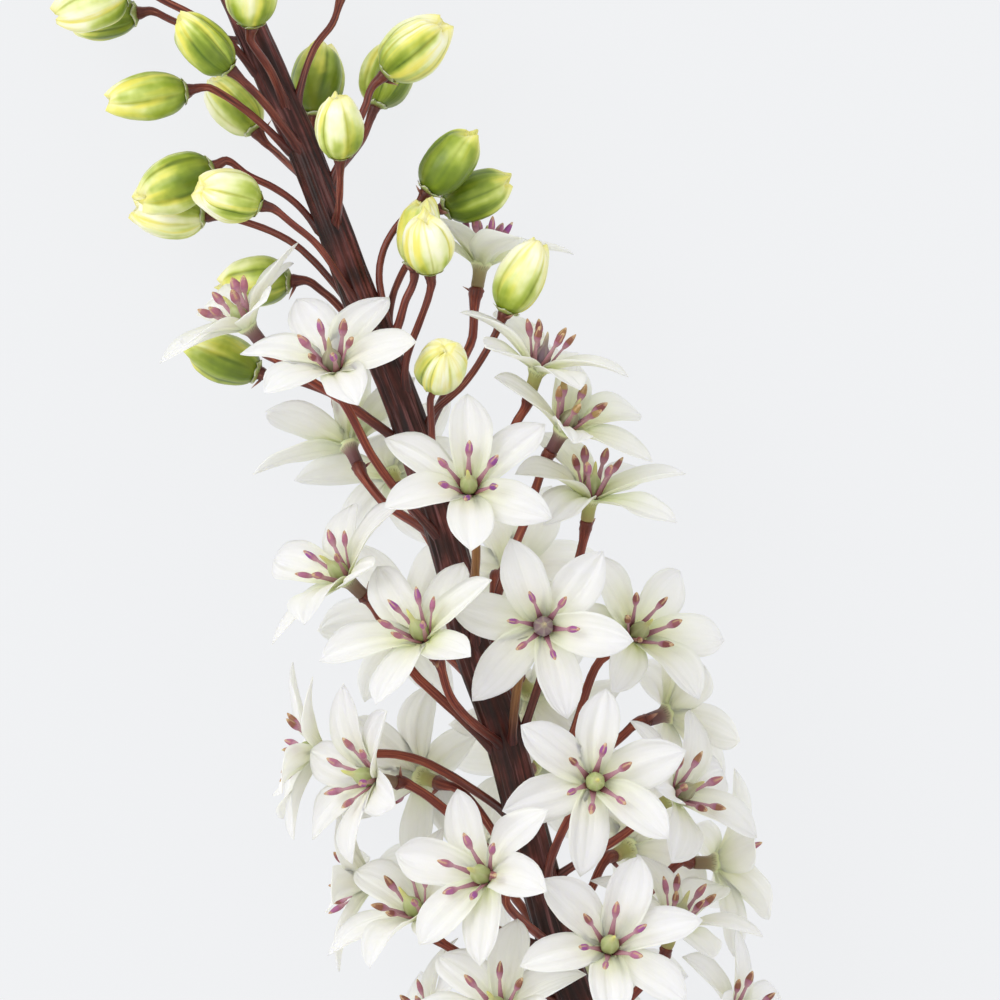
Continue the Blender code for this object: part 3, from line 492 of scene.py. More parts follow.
def nearest_on(spots, point):
    """The place on the line beside the point, seen from above."""
    return min(spots, key=lambda spot: math.hypot(spot.x - point.x, spot.y - point.y))


def heart_of(bloom):
    """The place of a bloom's heart, whose height is given over the stem's axis beside it."""
    flat = in_part(bloom[0])
    return Vector((flat.x, flat.y, nearest_on(line, flat).z + bloom[1]))


def stalk_route(bloom, seat, facing):
    """The stalk's line: down the stem's side as a rib, out, and up to the seat of the bloom."""
    pixels = bloom[3]
    if pixels:
        root = nearest_on(line, in_part(pixels[-1]))
        shown = [in_part(pixel) for pixel in pixels[:-1]]
    else:
        root = nearest_on(line, nearest_on(line, seat) - Vector((0, STALK_DROP, 0)))
        shown = []
    neck = seat - facing * KNOB_LENGTH
    whole = (neck.xy - root.xy).length
    through = []
    for spot in shown:
        from_root = (spot.xy - root.xy).length
        if from_root < STALK_CLIMB_END * whole:
            climb = math.sin(min(1.0, from_root / whole) * math.pi / 2)
            through.insert(0, Vector((spot.x, spot.y, root.z + (neck.z - root.z) * climb)))
    if not through:
        through = [(root + neck) / 2 + Vector((neck.x - root.x, 0, neck.z - root.z)) * STALK_BOW]
    place = min(range(len(fine_line)), key=lambda k: (fine_line[k] - root).length)
    run = distances(fine_line)
    along = (fine_line[min(place + 1, len(fine_line) - 1)] - fine_line[place - 1]).normalized()
    leaving = through[0] - root
    leaving = (leaving - along * leaving.dot(along)).normalized()
    radius = stem_radius(run[place] / stem_length)
    low, mid = walk(fine_line, [max(0.0, run[place] - STALK_FOOT * share) for share in (1.0, 0.35)])
    rib = [spot + leaving * radius * out for spot, out in zip((low, mid, root), STALK_SINK)]
    route = smooth_points([*rib, *through, neck, seat], ROUTE_STEPS)
    # The first run and the last are held by the stem and the bloom, and stay
    for _ in range(EVENING):
        middles = [(a + b * 2 + c) / 4 for a, b, c in zip(route, route[1:], route[2:])]
        route[ROUTE_STEPS + 1 : 1 - ROUTE_STEPS] = middles[ROUTE_STEPS : 2 - ROUTE_STEPS]
    return route


# Stalk skin: smooth, taut skin, red-brown and faintly glossy. It darkens to the stem's burgundy at the foot
stalk_finishes = []
for name, skin_stops in (
    ("red-brown stalk skin", [(0.32, "#42150E"), (0.45, "#6C261A"), (0.57, "#93442E"), (0.72, "#BC7A58")]),
    ("burgundy stalk skin", [(0.32, "#38110D"), (0.45, "#5E241C"), (0.57, "#84402F"), (0.72, "#B87A64")]),
):
    finish, tree, shader = new_material(name, {
        "Roughness": 0.38, "Coat Weight": 0.08, "Subsurface Weight": 0.05, "Coat Roughness": 0.3,
        "Specular IOR Level": 0.35, "Subsurface Scale": 0.6 * MM,
    })
    uv = add_node(tree, "UVMap", {})
    along = add_node(tree, "SeparateXYZ", {}, {"Vector": uv})
    streaks_at = add_node(tree, "Mapping", {"Scale": (9.0, 2.2, 1.0)}, {"Vector": uv})
    tint = add_node(tree, "Attribute", {"attribute_name": "tint"})
    shifted = add_node(tree, "Math", {"operation": "MULTIPLY", 1: TINT_SPREAD}, {0: tint.outputs["Fac"]})
    streaks = add_node(tree, "TexNoise", {"noise_dimensions": "4D", "Scale": 1.7, "Detail": 6.0, "Roughness": 0.68},
                       {"Vector": streaks_at, "W": shifted})
    red = add_node(tree, "ValToRGB", {"stops": skin_stops}, {"Fac": streaks})
    ochre = add_node(tree, "ValToRGB", {"stops": [(0.30, "#6A4326"), (0.55, "#93693A"), (0.75, "#B08D58")]},
                     {"Fac": streaks})
    which = add_node(tree, "ValToRGB", {"stops": [(0.92, 0.0), (0.97, 0.85)]}, {"Fac": tint.outputs["Fac"]})
    coloured = add_node(tree, "Mix", {"data_type": "RGBA"}, {0: which, 6: red, 7: ochre})
    dark = add_node(tree, "ValToRGB", {"stops": [(0.36, "#2A0D0A"), (0.52, "#4E1F1A"), (0.68, "#84504A")]},
                    {"Fac": streaks})
    foot = add_node(tree, "ValToRGB", {"stops": [(0.16, 1.0), (0.42, 0.0)]}, {"Fac": along.outputs["Y"]})
    blended = add_node(tree, "Mix", {"data_type": "RGBA"}, {0: foot, 6: coloured, 7: dark})
    knob = add_node(tree, "ValToRGB", {"stops": [(0.74, 0.0), (0.92, 0.55)]}, {"Fac": along.outputs["Y"]})
    ended = add_node(tree, "Mix", {"data_type": "RGBA", 7: linear("#4A211D")}, {0: knob, 6: blended})
    dress(tree, shader, ended, streaks, 0.5, 0.16 * MM)
    stalk_finishes.append(finish)
stalk_finish, bud_stalk_finish = stalk_finishes

stalk_tube = open_tube("stalk_tube", STALK_SIDES, STALK_RINGS)
close_ends(stalk_tube)


def share_at(stations, t):
    """The value at t of a list of (place, value), with straight runs between them."""
    for (a, low), (b, high) in zip(stations, stations[1:]):
        if t <= b:
            return low + (high - low) * max(0.0, (t - a) / (b - a))
    return stations[-1][1]


def tinted(mesh, tint):
    """The mesh with one number on all its points, by which its material tells it from its neighbours."""
    values = mesh.attributes.new("tint", "FLOAT", "POINT")
    values.data.foreach_set("value", [tint] * len(mesh.vertices))
    return mesh


def stalk_mesh(route, kind, draw, tint):
    """One stalk along its route, with its swollen foot and its knob."""
    knobs, plain = KNOB_STATIONS[kind], STALK_RADIUS[kind]
    length = distances(route)[-1]
    places = []
    for k in range(STALK_RINGS + 1):
        t = k / STALK_RINGS
        if t < 1 - KNOB_SHARE:
            places.append((length - KNOB_RUN) * t / (1 - KNOB_SHARE))
        else:
            places.append(length - KNOB_RUN * (1 - t) / KNOB_SHARE)
    frames = carried_frames(walk(route, places))
    swell = draw.uniform(0.90, 1.06)
    slim = draw.uniform(0.90, 1.14)
    seed = draw.uniform(0, 50)

    def radius_at(place):
        foot = place / STALK_FOOT
        if foot < 1:
            low = FOOT_TIP + (plain * slim + FOOT_SWELL - FOOT_TIP) * foot**0.8
        else:
            low = plain * slim + FOOT_SWELL * math.exp(-(place - STALK_FOOT) / FOOT_SWELL_RUN)
        knob = share_at(knobs, (length - place) / MM) * MM * (swell if length - place < 2 * MM else 1)
        return max(low, knob)

    def put(spot):
        k = round((spot.z + 0.5) * STALK_RINGS)
        centre, across, over = frames[k]
        way = across * spot.x + over * spot.y
        lump = 1 + STALK_LUMPS * noise.noise(Vector((spot.x, spot.y, places[k] / (2.6 * MM) + seed)))
        return centre + way * radius_at(places[k]) * lump

    return tinted(bent(stalk_tube, put), tint)


# A few stalks are ochre and not red
OCHRE_STALKS = ("flower7", "flower12")
# The two kinds of bloom, with the way from the stalk's end to the heart
KINDS = (("flower", FLOWERS, NECK_LENGTH), ("bud", BUDS, 0.0))
for kind, blooms, foot_length in KINDS:
    meshes = []
    for number, bloom in enumerate(blooms, 1):
        facing = heading(bloom[2])
        seat = heart_of(bloom) - facing * foot_length
        draw = random.Random(f"{kind}{number}")
        tint = 1.0 if f"{kind}{number}" in OCHRE_STALKS else draw.random() * 0.9
        meshes.append(stalk_mesh(stalk_route(bloom, seat, facing), kind, draw, tint))
    piece_of(kind + "_stalks", meshes, [stalk_finish if kind == "flower" else bud_stalk_finish], "stem", "stem")


# The small bracts
# A dry, pointed scale about 3 mm long stands beside the knob of many stalks. It grew there as the leaf in whose
# corner the bloom formed, and it is thin, stiff and pinkish brown.

# The share of the stalks that have lost their scale
BARE_SHARE = 0.35
SCALE_LENGTH = 0.0034
# Where a scale grows: below the seat of the bloom, and out from the middle of the knob
SCALE_BELOW = 1.0 * MM
SCALE_OUT = 0.95 * MM
SCALE_SIDES = 8
SCALE_RINGS = 6
# How thick a scale is against its width
SCALE_FLATNESS = 0.45
# Up a scale, half its width in millimetres
SCALE_WIDTH = ((0.0, 0.60), (0.25, 0.64), (0.6, 0.40), (0.85, 0.192), (1.0, 0.048))

scale_finish, tree, shader = new_material("dry pink-brown scale", {"Roughness": 0.6})
uv = add_node(tree, "UVMap", {})
along = add_node(tree, "SeparateXYZ", {}, {"Vector": uv})
scale_colour = add_node(tree, "ValToRGB",
                        {"stops": [(0.0, "#54241E"), (0.45, "#8A4E42"), (0.8, "#BC8E7C"), (1.0, "#8A6A50")]},
                        {"Fac": along.outputs["Y"]})
threads = add_node(tree, "TexWave", {"Scale": 5.0, "Distortion": 1.0}, {"Vector": uv})
dress(tree, shader, scale_colour, threads.outputs["Fac"], 0.3, 0.05 * MM)

scale_tube = open_tube("scale_tube", SCALE_SIDES, SCALE_RINGS)
close_ends(scale_tube)


def beside(way):
    """Two directions square to the way and to each other."""
    across = way.orthogonal().normalized()
    return across, way.cross(across)


def each_of(blooms, word):
    """Each bloom's number, its own source of chance, its heart and the way it faces."""
    for number, bloom in enumerate(blooms, 1):
        yield number, random.Random(f"{word}{number}"), heart_of(bloom), heading(bloom[2])


meshes = []
for kind, blooms, foot_length in KINDS:
    for number, draw, heart, facing in each_of(blooms, f"spur {kind}"):
        if draw.random() < BARE_SHARE:
            continue
        across, over = beside(facing)
        angle = draw.uniform(0, math.tau)
        out = across * math.cos(angle) + over * math.sin(angle)
        low = heart - facing * (foot_length + SCALE_BELOW) + out * SCALE_OUT
        way = (facing * draw.uniform(0.3, 0.7) + out).normalized()
        flat = facing.cross(out)
        length = SCALE_LENGTH * draw.uniform(0.6, 1.05)
        curl = out * draw.uniform(-0.4, 0.5) * MM

        def put(spot):
            t = spot.z + 0.5
            wide = share_at(SCALE_WIDTH, t) * MM
            broad, thick = flat * spot.x * wide, way.cross(flat) * spot.y * wide * SCALE_FLATNESS
            return low + way * length * t + curl * t**2 + broad + thick

        meshes.append(bent(scale_tube, put))
piece_of("stalk_scales", meshes, [scale_finish], "stem", "stem")
put_away(scale_tube, stalk_tube)


# The petals
# Three outer and three inner petals to a flower, fleshy and thin-edged, white with a cream-green foot. They are
# joined in a shallow cup at the heart, and each opened by itself, so that no two are cupped, waved or curled alike.

PETAL_COLUMNS = 12
PETAL_ROWS = 16
# The cup's rim, and how deep the feet of the inner and of the outer petals reach down into it
CUP_RADIUS = 0.0023
INNER_FOOT = 0.30 * MM
OUTER_FOOT = 0.60 * MM
# A CAD stamen's tip is between these distances from the heart, and a petal's tip is farther out
LONGEST_STAMEN = 0.0110
SHORTEST_STAMEN = 0.0095
# The widest ring of a CAD petal near its tip has this share of its full width
PETAL_RING_SHARE = 0.92
# The thickness of a petal: at its rim, and how much more along its middle at the foot, in millimetres
PETAL_RIM = 0.12
PETAL_BODY = 0.34
# Along a petal, the share of its full width
PETAL_OUTLINE = (
    (0.0, 0.34), (0.07, 0.45), (0.15, 0.58), (0.25, 0.735), (0.40, 0.90), (0.52, 0.98), (0.62, 1.0), (0.72, 0.96),
    (0.80, 0.85), (0.87, 0.67), (0.93, 0.42), (0.97, 0.22), (1.0, 0.03),
)

# Petal: living tissue with water-filled cells under a thin skin, so light soaks in and glows through it. Veins
# run from foot to tip about 1 mm apart, and the skin has a fine satin grain of about 0.1 mm, drawn at 0.6 mm
petal_finish, tree, shader = new_material("white petal", {
    "Roughness": 0.55, "Subsurface Weight": 0.85, "Subsurface Radius": (1.0, 1.0, 0.75),
    "Subsurface Scale": 2.2 * MM, "Specular IOR Level": 0.30,
})
uv = add_node(tree, "UVMap", {})
parts = add_node(tree, "SeparateXYZ", {}, {"Vector": uv})
tint = add_node(tree, "Attribute", {"attribute_name": "tint"})
place = add_node(tree, "TexCoord", {})
clouds = add_node(tree, "TexNoise", {"Scale": 1 / (5 * MM), "Detail": 3.0}, {"Vector": place.outputs["Object"]})
foot_end = add_node(tree, "Math", {"operation": "MULTIPLY_ADD", 1: 0.22}, {0: clouds, 2: parts.outputs["Y"]})
sooner = add_node(tree, "Math", {"operation": "MULTIPLY_ADD", 1: -0.42}, {0: tint.outputs["Fac"], 2: foot_end})
white = add_node(
    tree, "ValToRGB",
    {"stops": [(0.0, "#D0DD98"), (0.14, "#DFE8B6"), (0.34, "#EDF1D0"), (0.58, "#F6F6E6"), (0.88, "#FBFAF3")]},
    {"Fac": sooner},
)
veins_at = add_node(tree, "Mapping", {"Scale": (1.0, 0.10, 1.0)}, {"Vector": uv})
shifted = add_node(tree, "Math", {"operation": "MULTIPLY", 1: TINT_SPREAD}, {0: tint.outputs["Fac"]})
veins = add_node(tree, "TexNoise", {"noise_dimensions": "4D", "Scale": 9.0, "Detail": 3.0, "Roughness": 0.55},
                 {"Vector": veins_at, "W": shifted})
faint = add_node(tree, "ValToRGB", {"stops": [(0.35, 0.14), (0.52, 0.0)]}, {"Fac": veins})
veined = add_node(tree, "Mix", {"data_type": "RGBA", 7: linear("#DADFC6")}, {0: faint, 6: white})
grain = add_node(tree, "TexNoise", {"Scale": 1 / (0.6 * MM), "Detail": 2.0}, {"Vector": place.outputs["Object"]})
height = add_node(tree, "Math", {"operation": "MULTIPLY_ADD", 1: 0.12}, {0: grain, 2: veins})
pleats_at = add_node(tree, "Mapping", {"Scale": (1.0, 0.22, 1.0)}, {"Vector": uv})
pleats = add_node(tree, "TexNoise", {"noise_dimensions": "4D", "Scale": 4.5, "Detail": 1.0, "Roughness": 0.4},
                  {"Vector": pleats_at, "W": shifted})
folded = add_node(tree, "Math", {"operation": "MULTIPLY_ADD", 1: 4.4}, {0: pleats, 2: height})
dress(tree, shader, veined, folded, 0.42, 0.50 * MM)


def blade(name, columns, rows, outline):
    """A flat blade, one long and one thick, as wide as its outline says and pointed at its end."""
    bpy.ops.object.select_all(action="DESELECT")
    bpy.ops.mesh.primitive_grid_add(x_subdivisions=columns, y_subdivisions=rows, size=1, calc_uvs=True)
    sheet = bpy.context.object
    sheet.name = name
    bpy.ops.object.mode_set(mode="EDIT")
    bpy.context.tool_settings.mesh_select_mode = (True, False, False)
    for row in range(rows + 1):
        t = row / rows
        pick(sheet, lambda spot: abs(spot.y + 0.5 - t) < SAME_HEIGHT)
        bpy.ops.transform.resize(value=(share_at(outline, t), 1, 1), center_override=(0, 0, 0))
    bpy.ops.mesh.merge(type="CENTER")
    bpy.ops.object.mode_set(mode="OBJECT")
    bpy.ops.object.modifier_add(type="SOLIDIFY")
    sheet.modifiers[-1].thickness = 1.0
    sheet.modifiers[-1].offset = 0.0
    bpy.ops.object.modifier_apply(modifier=sheet.modifiers[-1].name)
    bpy.ops.object.shade_smooth()
    return sheet


petal_sheet = blade("petal_sheet", PETAL_COLUMNS, PETAL_ROWS, PETAL_OUTLINE)


def cad_tips(node, heart):
    """The petal tips of a CAD flower with each petal's width, and its stamen tips. A tip is a point that is
    farther from the heart than all its neighbours."""
    work = bmesh.new()
    work.from_mesh(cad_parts[node].data)
    bmesh.ops.remove_doubles(work, verts=work.verts, dist=0.00001)
    petals, stamens = [], []
    for vert in work.verts:
        reach = (vert.co - heart).length
        near = [edge.other_vert(vert).co for edge in vert.link_edges]
        if reach < SHORTEST_STAMEN or any((spot - heart).length > reach for spot in near):
            continue
        if reach > LONGEST_STAMEN:
            petals.append((vert.co.copy(), max((a - b).length for a in near for b in near) / PETAL_RING_SHARE))
        else:
            stamens.append(vert.co.copy())
    work.free()
    return petals, stamens


def curve_at(start, bend, end, t):
    """A point of the curve that leaves its start toward the bend and comes to its end from there."""
    return start * (1 - t) ** 2 + bend * 2 * t * (1 - t) + end * t**2


def curve_way(start, bend, end, t):
    """The way along that curve at the same point."""
    return ((bend - start) * (1 - t) + (end - bend) * t).normalized()


def petal_mesh(heart, facing, tip, width, inner, draw):
    """One petal bent along the CAD petal's own middle line, with its own cup, creases, wave, twist and curl."""
    reach = tip - heart
    length = reach.length
    way = reach / length
    out = (way - facing * way.dot(facing)).normalized()
    root = heart + out * CUP_RADIUS * 0.50 - facing * (INNER_FOOT if inner else OUTER_FOOT)
    rise = max(0.10, way.dot(facing)) * length
    bend = root + facing * (rise * 0.60 + length * 0.08) + out * (length * 0.26 + 0.7 * MM)
    sideways = out.cross(facing).normalized()
    cup = draw.uniform(0.7, 1.7) * MM
    fold = draw.uniform(-0.1, 0.45) * MM
    wave, phase, beats = draw.uniform(0.15, 0.65) * MM, draw.uniform(0, math.tau), draw.uniform(0.8, 1.8)
    twist = math.radians(draw.uniform(-16, 16))
    curl = draw.uniform(-0.42, 0.16)
    sway = draw.uniform(-1.2, 1.2) * MM
    width = width * draw.uniform(0.98, 1.10)
    fuller = draw.uniform(0.86, 1.16)
    crease, crease_phase = draw.uniform(0.10, 0.50) * MM, draw.uniform(0, math.tau)
    seed = draw.uniform(0, 90)

    def put(spot):
        t = spot.y + 0.5
        share = share_at(PETAL_OUTLINE, t)
        side = spot.x / (share / 2) if t < 0.999 else 0.0
        share = share_at(PETAL_OUTLINE, t**fuller)
        centre, along = curve_at(root, bend, tip, t), curve_way(root, bend, tip, t)
        aside = Matrix.Rotation(twist * t, 3, along) @ sideways
        inward = aside.cross(along)
        hollow = cup * share * side**2 * (1.25 - 0.5 * t) + fold * share * abs(side)
        beat = math.tau * beats * t + phase + (1.3 if side > 0 else 0)
        edge = wave * abs(side) ** 3 * math.sin(beat) * share * (1 - 0.5 * t**3)
        folds = math.cos(2.6 * math.pi * side + crease_phase + 1.5 * t) * (1 - side**2) * math.sin(math.pi * t) ** 0.5
        edge += crease * folds
        ragged = 1 + 0.05 * noise.noise(Vector((seed + (7 if side > 0 else 0), t * 5, 0))) * abs(side)
        bow = curl * max(0.0, t - 0.5) ** 2 * length
        thick = (PETAL_RIM + PETAL_BODY * (1 - side**2) * (1 - 0.65 * t)) * MM
        centre = centre + aside * sway * math.sin(math.pi * t)
        found = centre + aside * side * share * ragged * width / 2
        found += inward * (hollow + edge + bow + spot.z * thick)
        return over_table(found, LEAST_GAP + spot.z * thick)

    return bent(petal_sheet, put)


# Petals that would run through a neighbour: how far their tip moves right, up and out of the picture in mm
tip_shift = {
    (1, 4): (0, 0, 1.5), (3, 0): (0, 0, 1.5), (3, 4): (0, 0, -1.5), (4, 1): (0, 0, -1.5), (5, 4): (0, 0, -1.5),
    (5, 5): (0, 0, -4.5), (8, 2): (2, -3, 0), (16, 0): (0, 0, -2.5), (17, 5): (0, 0, -2.5), (19, 5): (0, 0, 2.5),
    (22, 5): (0, 0, 1.5), (27, 3): (0, 0, -1.5), (28, 4): (0, 0, 2.5), (29, 0): (-2, 0, 6), (29, 3): (0, 0, 1.5),
    (33, 3): (0, 0, -1.5), (34, 4): (0, 0, 1.5),
}
# The six petals of a flower share its youth: the cream-green of the young ones goes further up. The oldest
# flowers, from the fourteenth on, are the whitest
flower_youth = {1: 0.25, 2: 0.22, 3: 0.35, 4: 0.45, 5: 0.50, 6: 0.22, 7: 0.22, 8: 0.55, 9: 0.35, 10: 0.35, 11: 0.35,
                12: 0.22, 13: 0.45, 15: 0.15, 18: 0.20, 20: 0.15}
OLD_FLOWER = 0.08
tips_of_flower = {}
for number, draw, heart, facing in each_of(FLOWERS, "petals"):
    node = f"flower_{number:02d}"
    petals, stamens = cad_tips(node, heart)
    assert len(petals) == len(stamens) == 6, (node, len(petals), len(stamens))
    tips_of_flower[number] = stamens
    outer, inner = [], []
    across, over = beside(facing)
    petals.sort(key=lambda found: math.atan2((found[0] - heart).dot(over), (found[0] - heart).dot(across)))
    for place, (tip, width) in enumerate(petals):
        tint = min(1.0, max(0.0, flower_youth.get(number, OLD_FLOWER) + draw.uniform(-0.20, 0.24)))
        whorl = (outer, inner)[place % 2]
        rightward, upward, outward = tip_shift.get((number, place), (0, 0, 0))
        tip = tip + Vector((*turned(rightward * MM, upward * MM), outward * MM))
        whorl.append(tinted(petal_mesh(heart, facing, tip, width, whorl is inner, draw), tint))
    piece_of(f"outer_petals_{number:02d}", outer, [petal_finish], "petals", node)
    piece_of(f"inner_petals_{number:02d}", inner, [petal_finish], "petals", node)
put_away(petal_sheet)


# The flower necks
# Under the petals each flower has a short green tube, a little ribbed, that widens into the cup the petals grow
# from. A row of short dark hatches marks where the petals are joined to it.

NECK_SIDES = 24
NECK_RINGS = 16
# From the seat up over the rim and down into the bowl: height over the heart and radius in millimetres
NECK_STATIONS = (
    (-5.0, 1.20), (-4.7, 1.30), (-4.0, 1.32), (-3.2, 1.33), (-2.4, 1.36), (-1.8, 1.41), (-1.5, 1.47), (-1.1, 1.63),
    (-0.7, 1.88), (-0.3, 2.08), (0.0, 2.20), (0.25, 2.24), (0.28, 2.08), (0.05, 1.60), (-0.10, 1.15), (-0.05, 0.75),
    (0.0, 0.30),
)

# Neck skin: pale olive skin, waxy, a little brown-mauve at its foot. The hatches are about 0.25 mm apart
neck_finish, tree, shader = new_material("olive flower neck", {
    "Roughness": 0.5, "Subsurface Weight": 0.15, "Subsurface Scale": 0.8 * MM,
})
uv = add_node(tree, "UVMap", {})
parts = add_node(tree, "SeparateXYZ", {}, {"Vector": uv})
tint = add_node(tree, "Attribute", {"attribute_name": "tint"})
up_neck = add_node(
    tree, "ValToRGB",
    {"stops": [(0.0, "#A8955E"), (0.12, "#9C9458"), (0.30, "#A9A864"), (0.44, "#C3C588"), (0.55, "#D9DEAC"),
               (0.72, "#DFE6B8"), (0.84, "#C9A8A0"), (1.0, "#9A6A70")]},
    {"Fac": parts.outputs["Y"]},
)
brown_neck = add_node(
    tree, "ValToRGB",
    {"stops": [(0.0, "#54282A"), (0.22, "#70484A"), (0.38, "#8E746A"), (0.48, "#B0A68C"), (0.55, "#D9DEAC"),
               (0.72, "#DFE6B8"), (0.84, "#C9A8A0"), (1.0, "#9A6A70")]},
    {"Fac": parts.outputs["Y"]},
)
aged = add_node(tree, "ValToRGB", {"stops": [(0.45, 0.0), (0.75, 1.0)]}, {"Fac": tint.outputs["Fac"]})
skin = add_node(tree, "Mix", {"data_type": "RGBA"}, {0: aged, 6: up_neck, 7: brown_neck})
hatch_at = add_node(tree, "Mapping", {"Scale": (40.0, 4.0, 1.0)}, {"Vector": uv})
hatch = add_node(tree, "TexNoise", {"Scale": 1.6, "Detail": 1.0}, {"Vector": hatch_at})
dark = add_node(tree, "ValToRGB", {"stops": [(0.52, 0.0), (0.60, 1.0)]}, {"Fac": hatch})
band = add_node(tree, "ValToRGB", {"stops": [(0.34, 0.0), (0.42, 0.55), (0.47, 0.55), (0.54, 0.0)]},
                {"Fac": parts.outputs["Y"]})
marks = add_node(tree, "Math", {"operation": "MULTIPLY"}, {0: dark, 1: band})
marked = add_node(tree, "Mix", {"data_type": "RGBA", 7: linear("#4A4630")}, {0: marks, 6: skin})
dress(tree, shader, marked, hatch, 0.4, 0.12 * MM)

neck_tube = open_tube("neck_tube", NECK_SIDES, NECK_RINGS)
close_ends(neck_tube)
# Which necks are fresh, at 0, and which have turned brown, at 1
neck_age = {1: 1.0, 2: 0.8, 4: 0.6, 5: 0.9, 8: 0.8, 9: 0.1, 18: 0.8, 19: 0.2, 20: 0.65}
for number, draw, heart, facing in each_of(FLOWERS, "neck"):
    across, over = beside(facing)
    slim, seed = draw.uniform(0.95, 1.06), draw.uniform(0, 90)

    def put(spot):
        height, radius = NECK_STATIONS[round((spot.z + 0.5) * NECK_RINGS)]
        angle = math.atan2(spot.y, spot.x)
        rib = 1 + 0.035 * math.cos(6 * angle) + 0.05 * noise.noise(Vector((spot.x, spot.y, height + seed)))
        return heart + facing * height * MM + (across * spot.x + over * spot.y) * radius * rib * slim * MM

    neck = tinted(bent(neck_tube, put), neck_age.get(number, draw.random()))
    piece_of(f"neck_{number:02d}", [neck], [neck_finish], "petals", f"flower_{number:02d}")
put_away(neck_tube)


# The stamens
# Six to a flower, one before each petal. The filament is a flat mauve strap, widest at its foot, and it carries a
# spindle of two pollen sacs, purple to dusty pink, whose seams and tip dry to cream.

STAMEN_SIDES = 8
STAMEN_RINGS = 13
# The two sacs bulge between the seams by this
SAC_PROUD = 1.12
# Where a filament's foot stands in the cup: out from the middle, and up
STAMEN_OUT = 1.45 * MM
STAMEN_UP = 0.15 * MM
# Along a stamen: how far, its width and its thickness in millimetres
STAMEN_STATIONS = (
    (0.0, 1.60, 0.60), (0.10, 1.45, 0.55), (0.24, 1.14, 0.50), (0.38, 0.90, 0.46), (0.50, 0.74, 0.44),
    (0.585, 0.66, 0.46), (0.625, 0.96, 0.84), (0.68, 1.30, 1.12), (0.75, 1.50, 1.30), (0.82, 1.40, 1.22),
    (0.88, 1.14, 1.00), (0.935, 0.82, 0.70), (0.975, 0.48, 0.42), (1.0, 0.14, 0.12),
)

# Stamen: filament skin is smooth and moist. The sacs are dry and powdery, with a grain of 0.05 mm drawn at 0.5 mm
stamen_finish, tree, shader = new_material("mauve stamen", {
    "Roughness": 0.55, "Subsurface Weight": 0.08, "Subsurface Scale": 0.4 * MM,
})
uv = add_node(tree, "UVMap", {})
parts = add_node(tree, "SeparateXYZ", {}, {"Vector": uv})
tint = add_node(tree, "Attribute", {"attribute_name": "tint"})
place = add_node(tree, "TexCoord", {})
powder = add_node(tree, "TexNoise", {"Scale": 1 / (0.5 * MM), "Detail": 3.0}, {"Vector": place.outputs["Object"]})
strap = add_node(
    tree, "ValToRGB",
    {"stops": [(0.0, "#6E3A38"), (0.08, "#8E5258"), (0.20, "#B98292"), (0.38, "#D0A2B0"), (0.52, "#C992A6"),
               (0.60, "#B4708E")]},
    {"Fac": parts.outputs["Y"]},
)
sac_colour = add_node(
    tree, "ValToRGB",
    {"stops": [(0.0, "#8A3C96"), (0.20, "#A8549E"), (0.36, "#BE7496"), (0.50, "#B4707A"), (0.62, "#8C4648"),
               (0.76, "#9A6248"), (0.90, "#B48C58"), (1.0, "#A8965A")]},
    {"Fac": tint.outputs["Fac"]},
)
on_sac = add_node(tree, "ValToRGB", {"stops": [(0.60, 0.0), (0.64, 1.0)]}, {"Fac": parts.outputs["Y"]})
coloured = add_node(tree, "Mix", {"data_type": "RGBA"}, {0: on_sac, 6: strap, 7: sac_colour})
tip_reach = add_node(tree, "Math", {"operation": "MULTIPLY_ADD", 1: 0.16}, {0: powder, 2: parts.outputs["Y"]})
on_tip = add_node(tree, "ValToRGB", {"stops": [(0.88, 0.0), (0.97, 0.9)]}, {"Fac": tip_reach})
tip_colour = add_node(tree, "ValToRGB", {"stops": [(0.35, "#C08A58"), (0.65, "#E8CFA4")]}, {"Fac": powder})
body = add_node(tree, "Mix", {"data_type": "RGBA"}, {0: on_tip, 6: coloured, 7: tip_colour})
seam_wave = add_node(tree, "Math", {"operation": "MULTIPLY", 1: math.tau * 2}, {0: parts.outputs["X"]})
seam_side = add_node(tree, "Math", {"operation": "COSINE"}, {0: seam_wave})
seam = add_node(tree, "ValToRGB", {"stops": [(0.72, 0.0), (0.97, 1.0)]}, {"Fac": seam_side})
sac = add_node(tree, "ValToRGB", {"stops": [(0.60, 0.0), (0.68, 0.65), (0.95, 0.9)]}, {"Fac": parts.outputs["Y"]})
seam_here = add_node(tree, "Math", {"operation": "MULTIPLY"}, {0: seam, 1: sac})
seamed = add_node(tree, "Mix", {"data_type": "RGBA", 7: linear("#D8B48A")}, {0: seam_here, 6: body})
dusty = add_node(tree, "Mix", {"data_type": "RGBA", "blend_type": "MULTIPLY", 0: 0.35}, {6: seamed, 7: powder})
dress(tree, shader, dusty, powder, 0.4, 0.10 * MM)

stamen_tube = open_tube("stamen_tube", STAMEN_SIDES, STAMEN_RINGS)
for side in range(1, STAMEN_SIDES, 2):
    pull_side(stamen_tube, side, STAMEN_SIDES, SAC_PROUD, -1.0)
close_ends(stamen_tube)


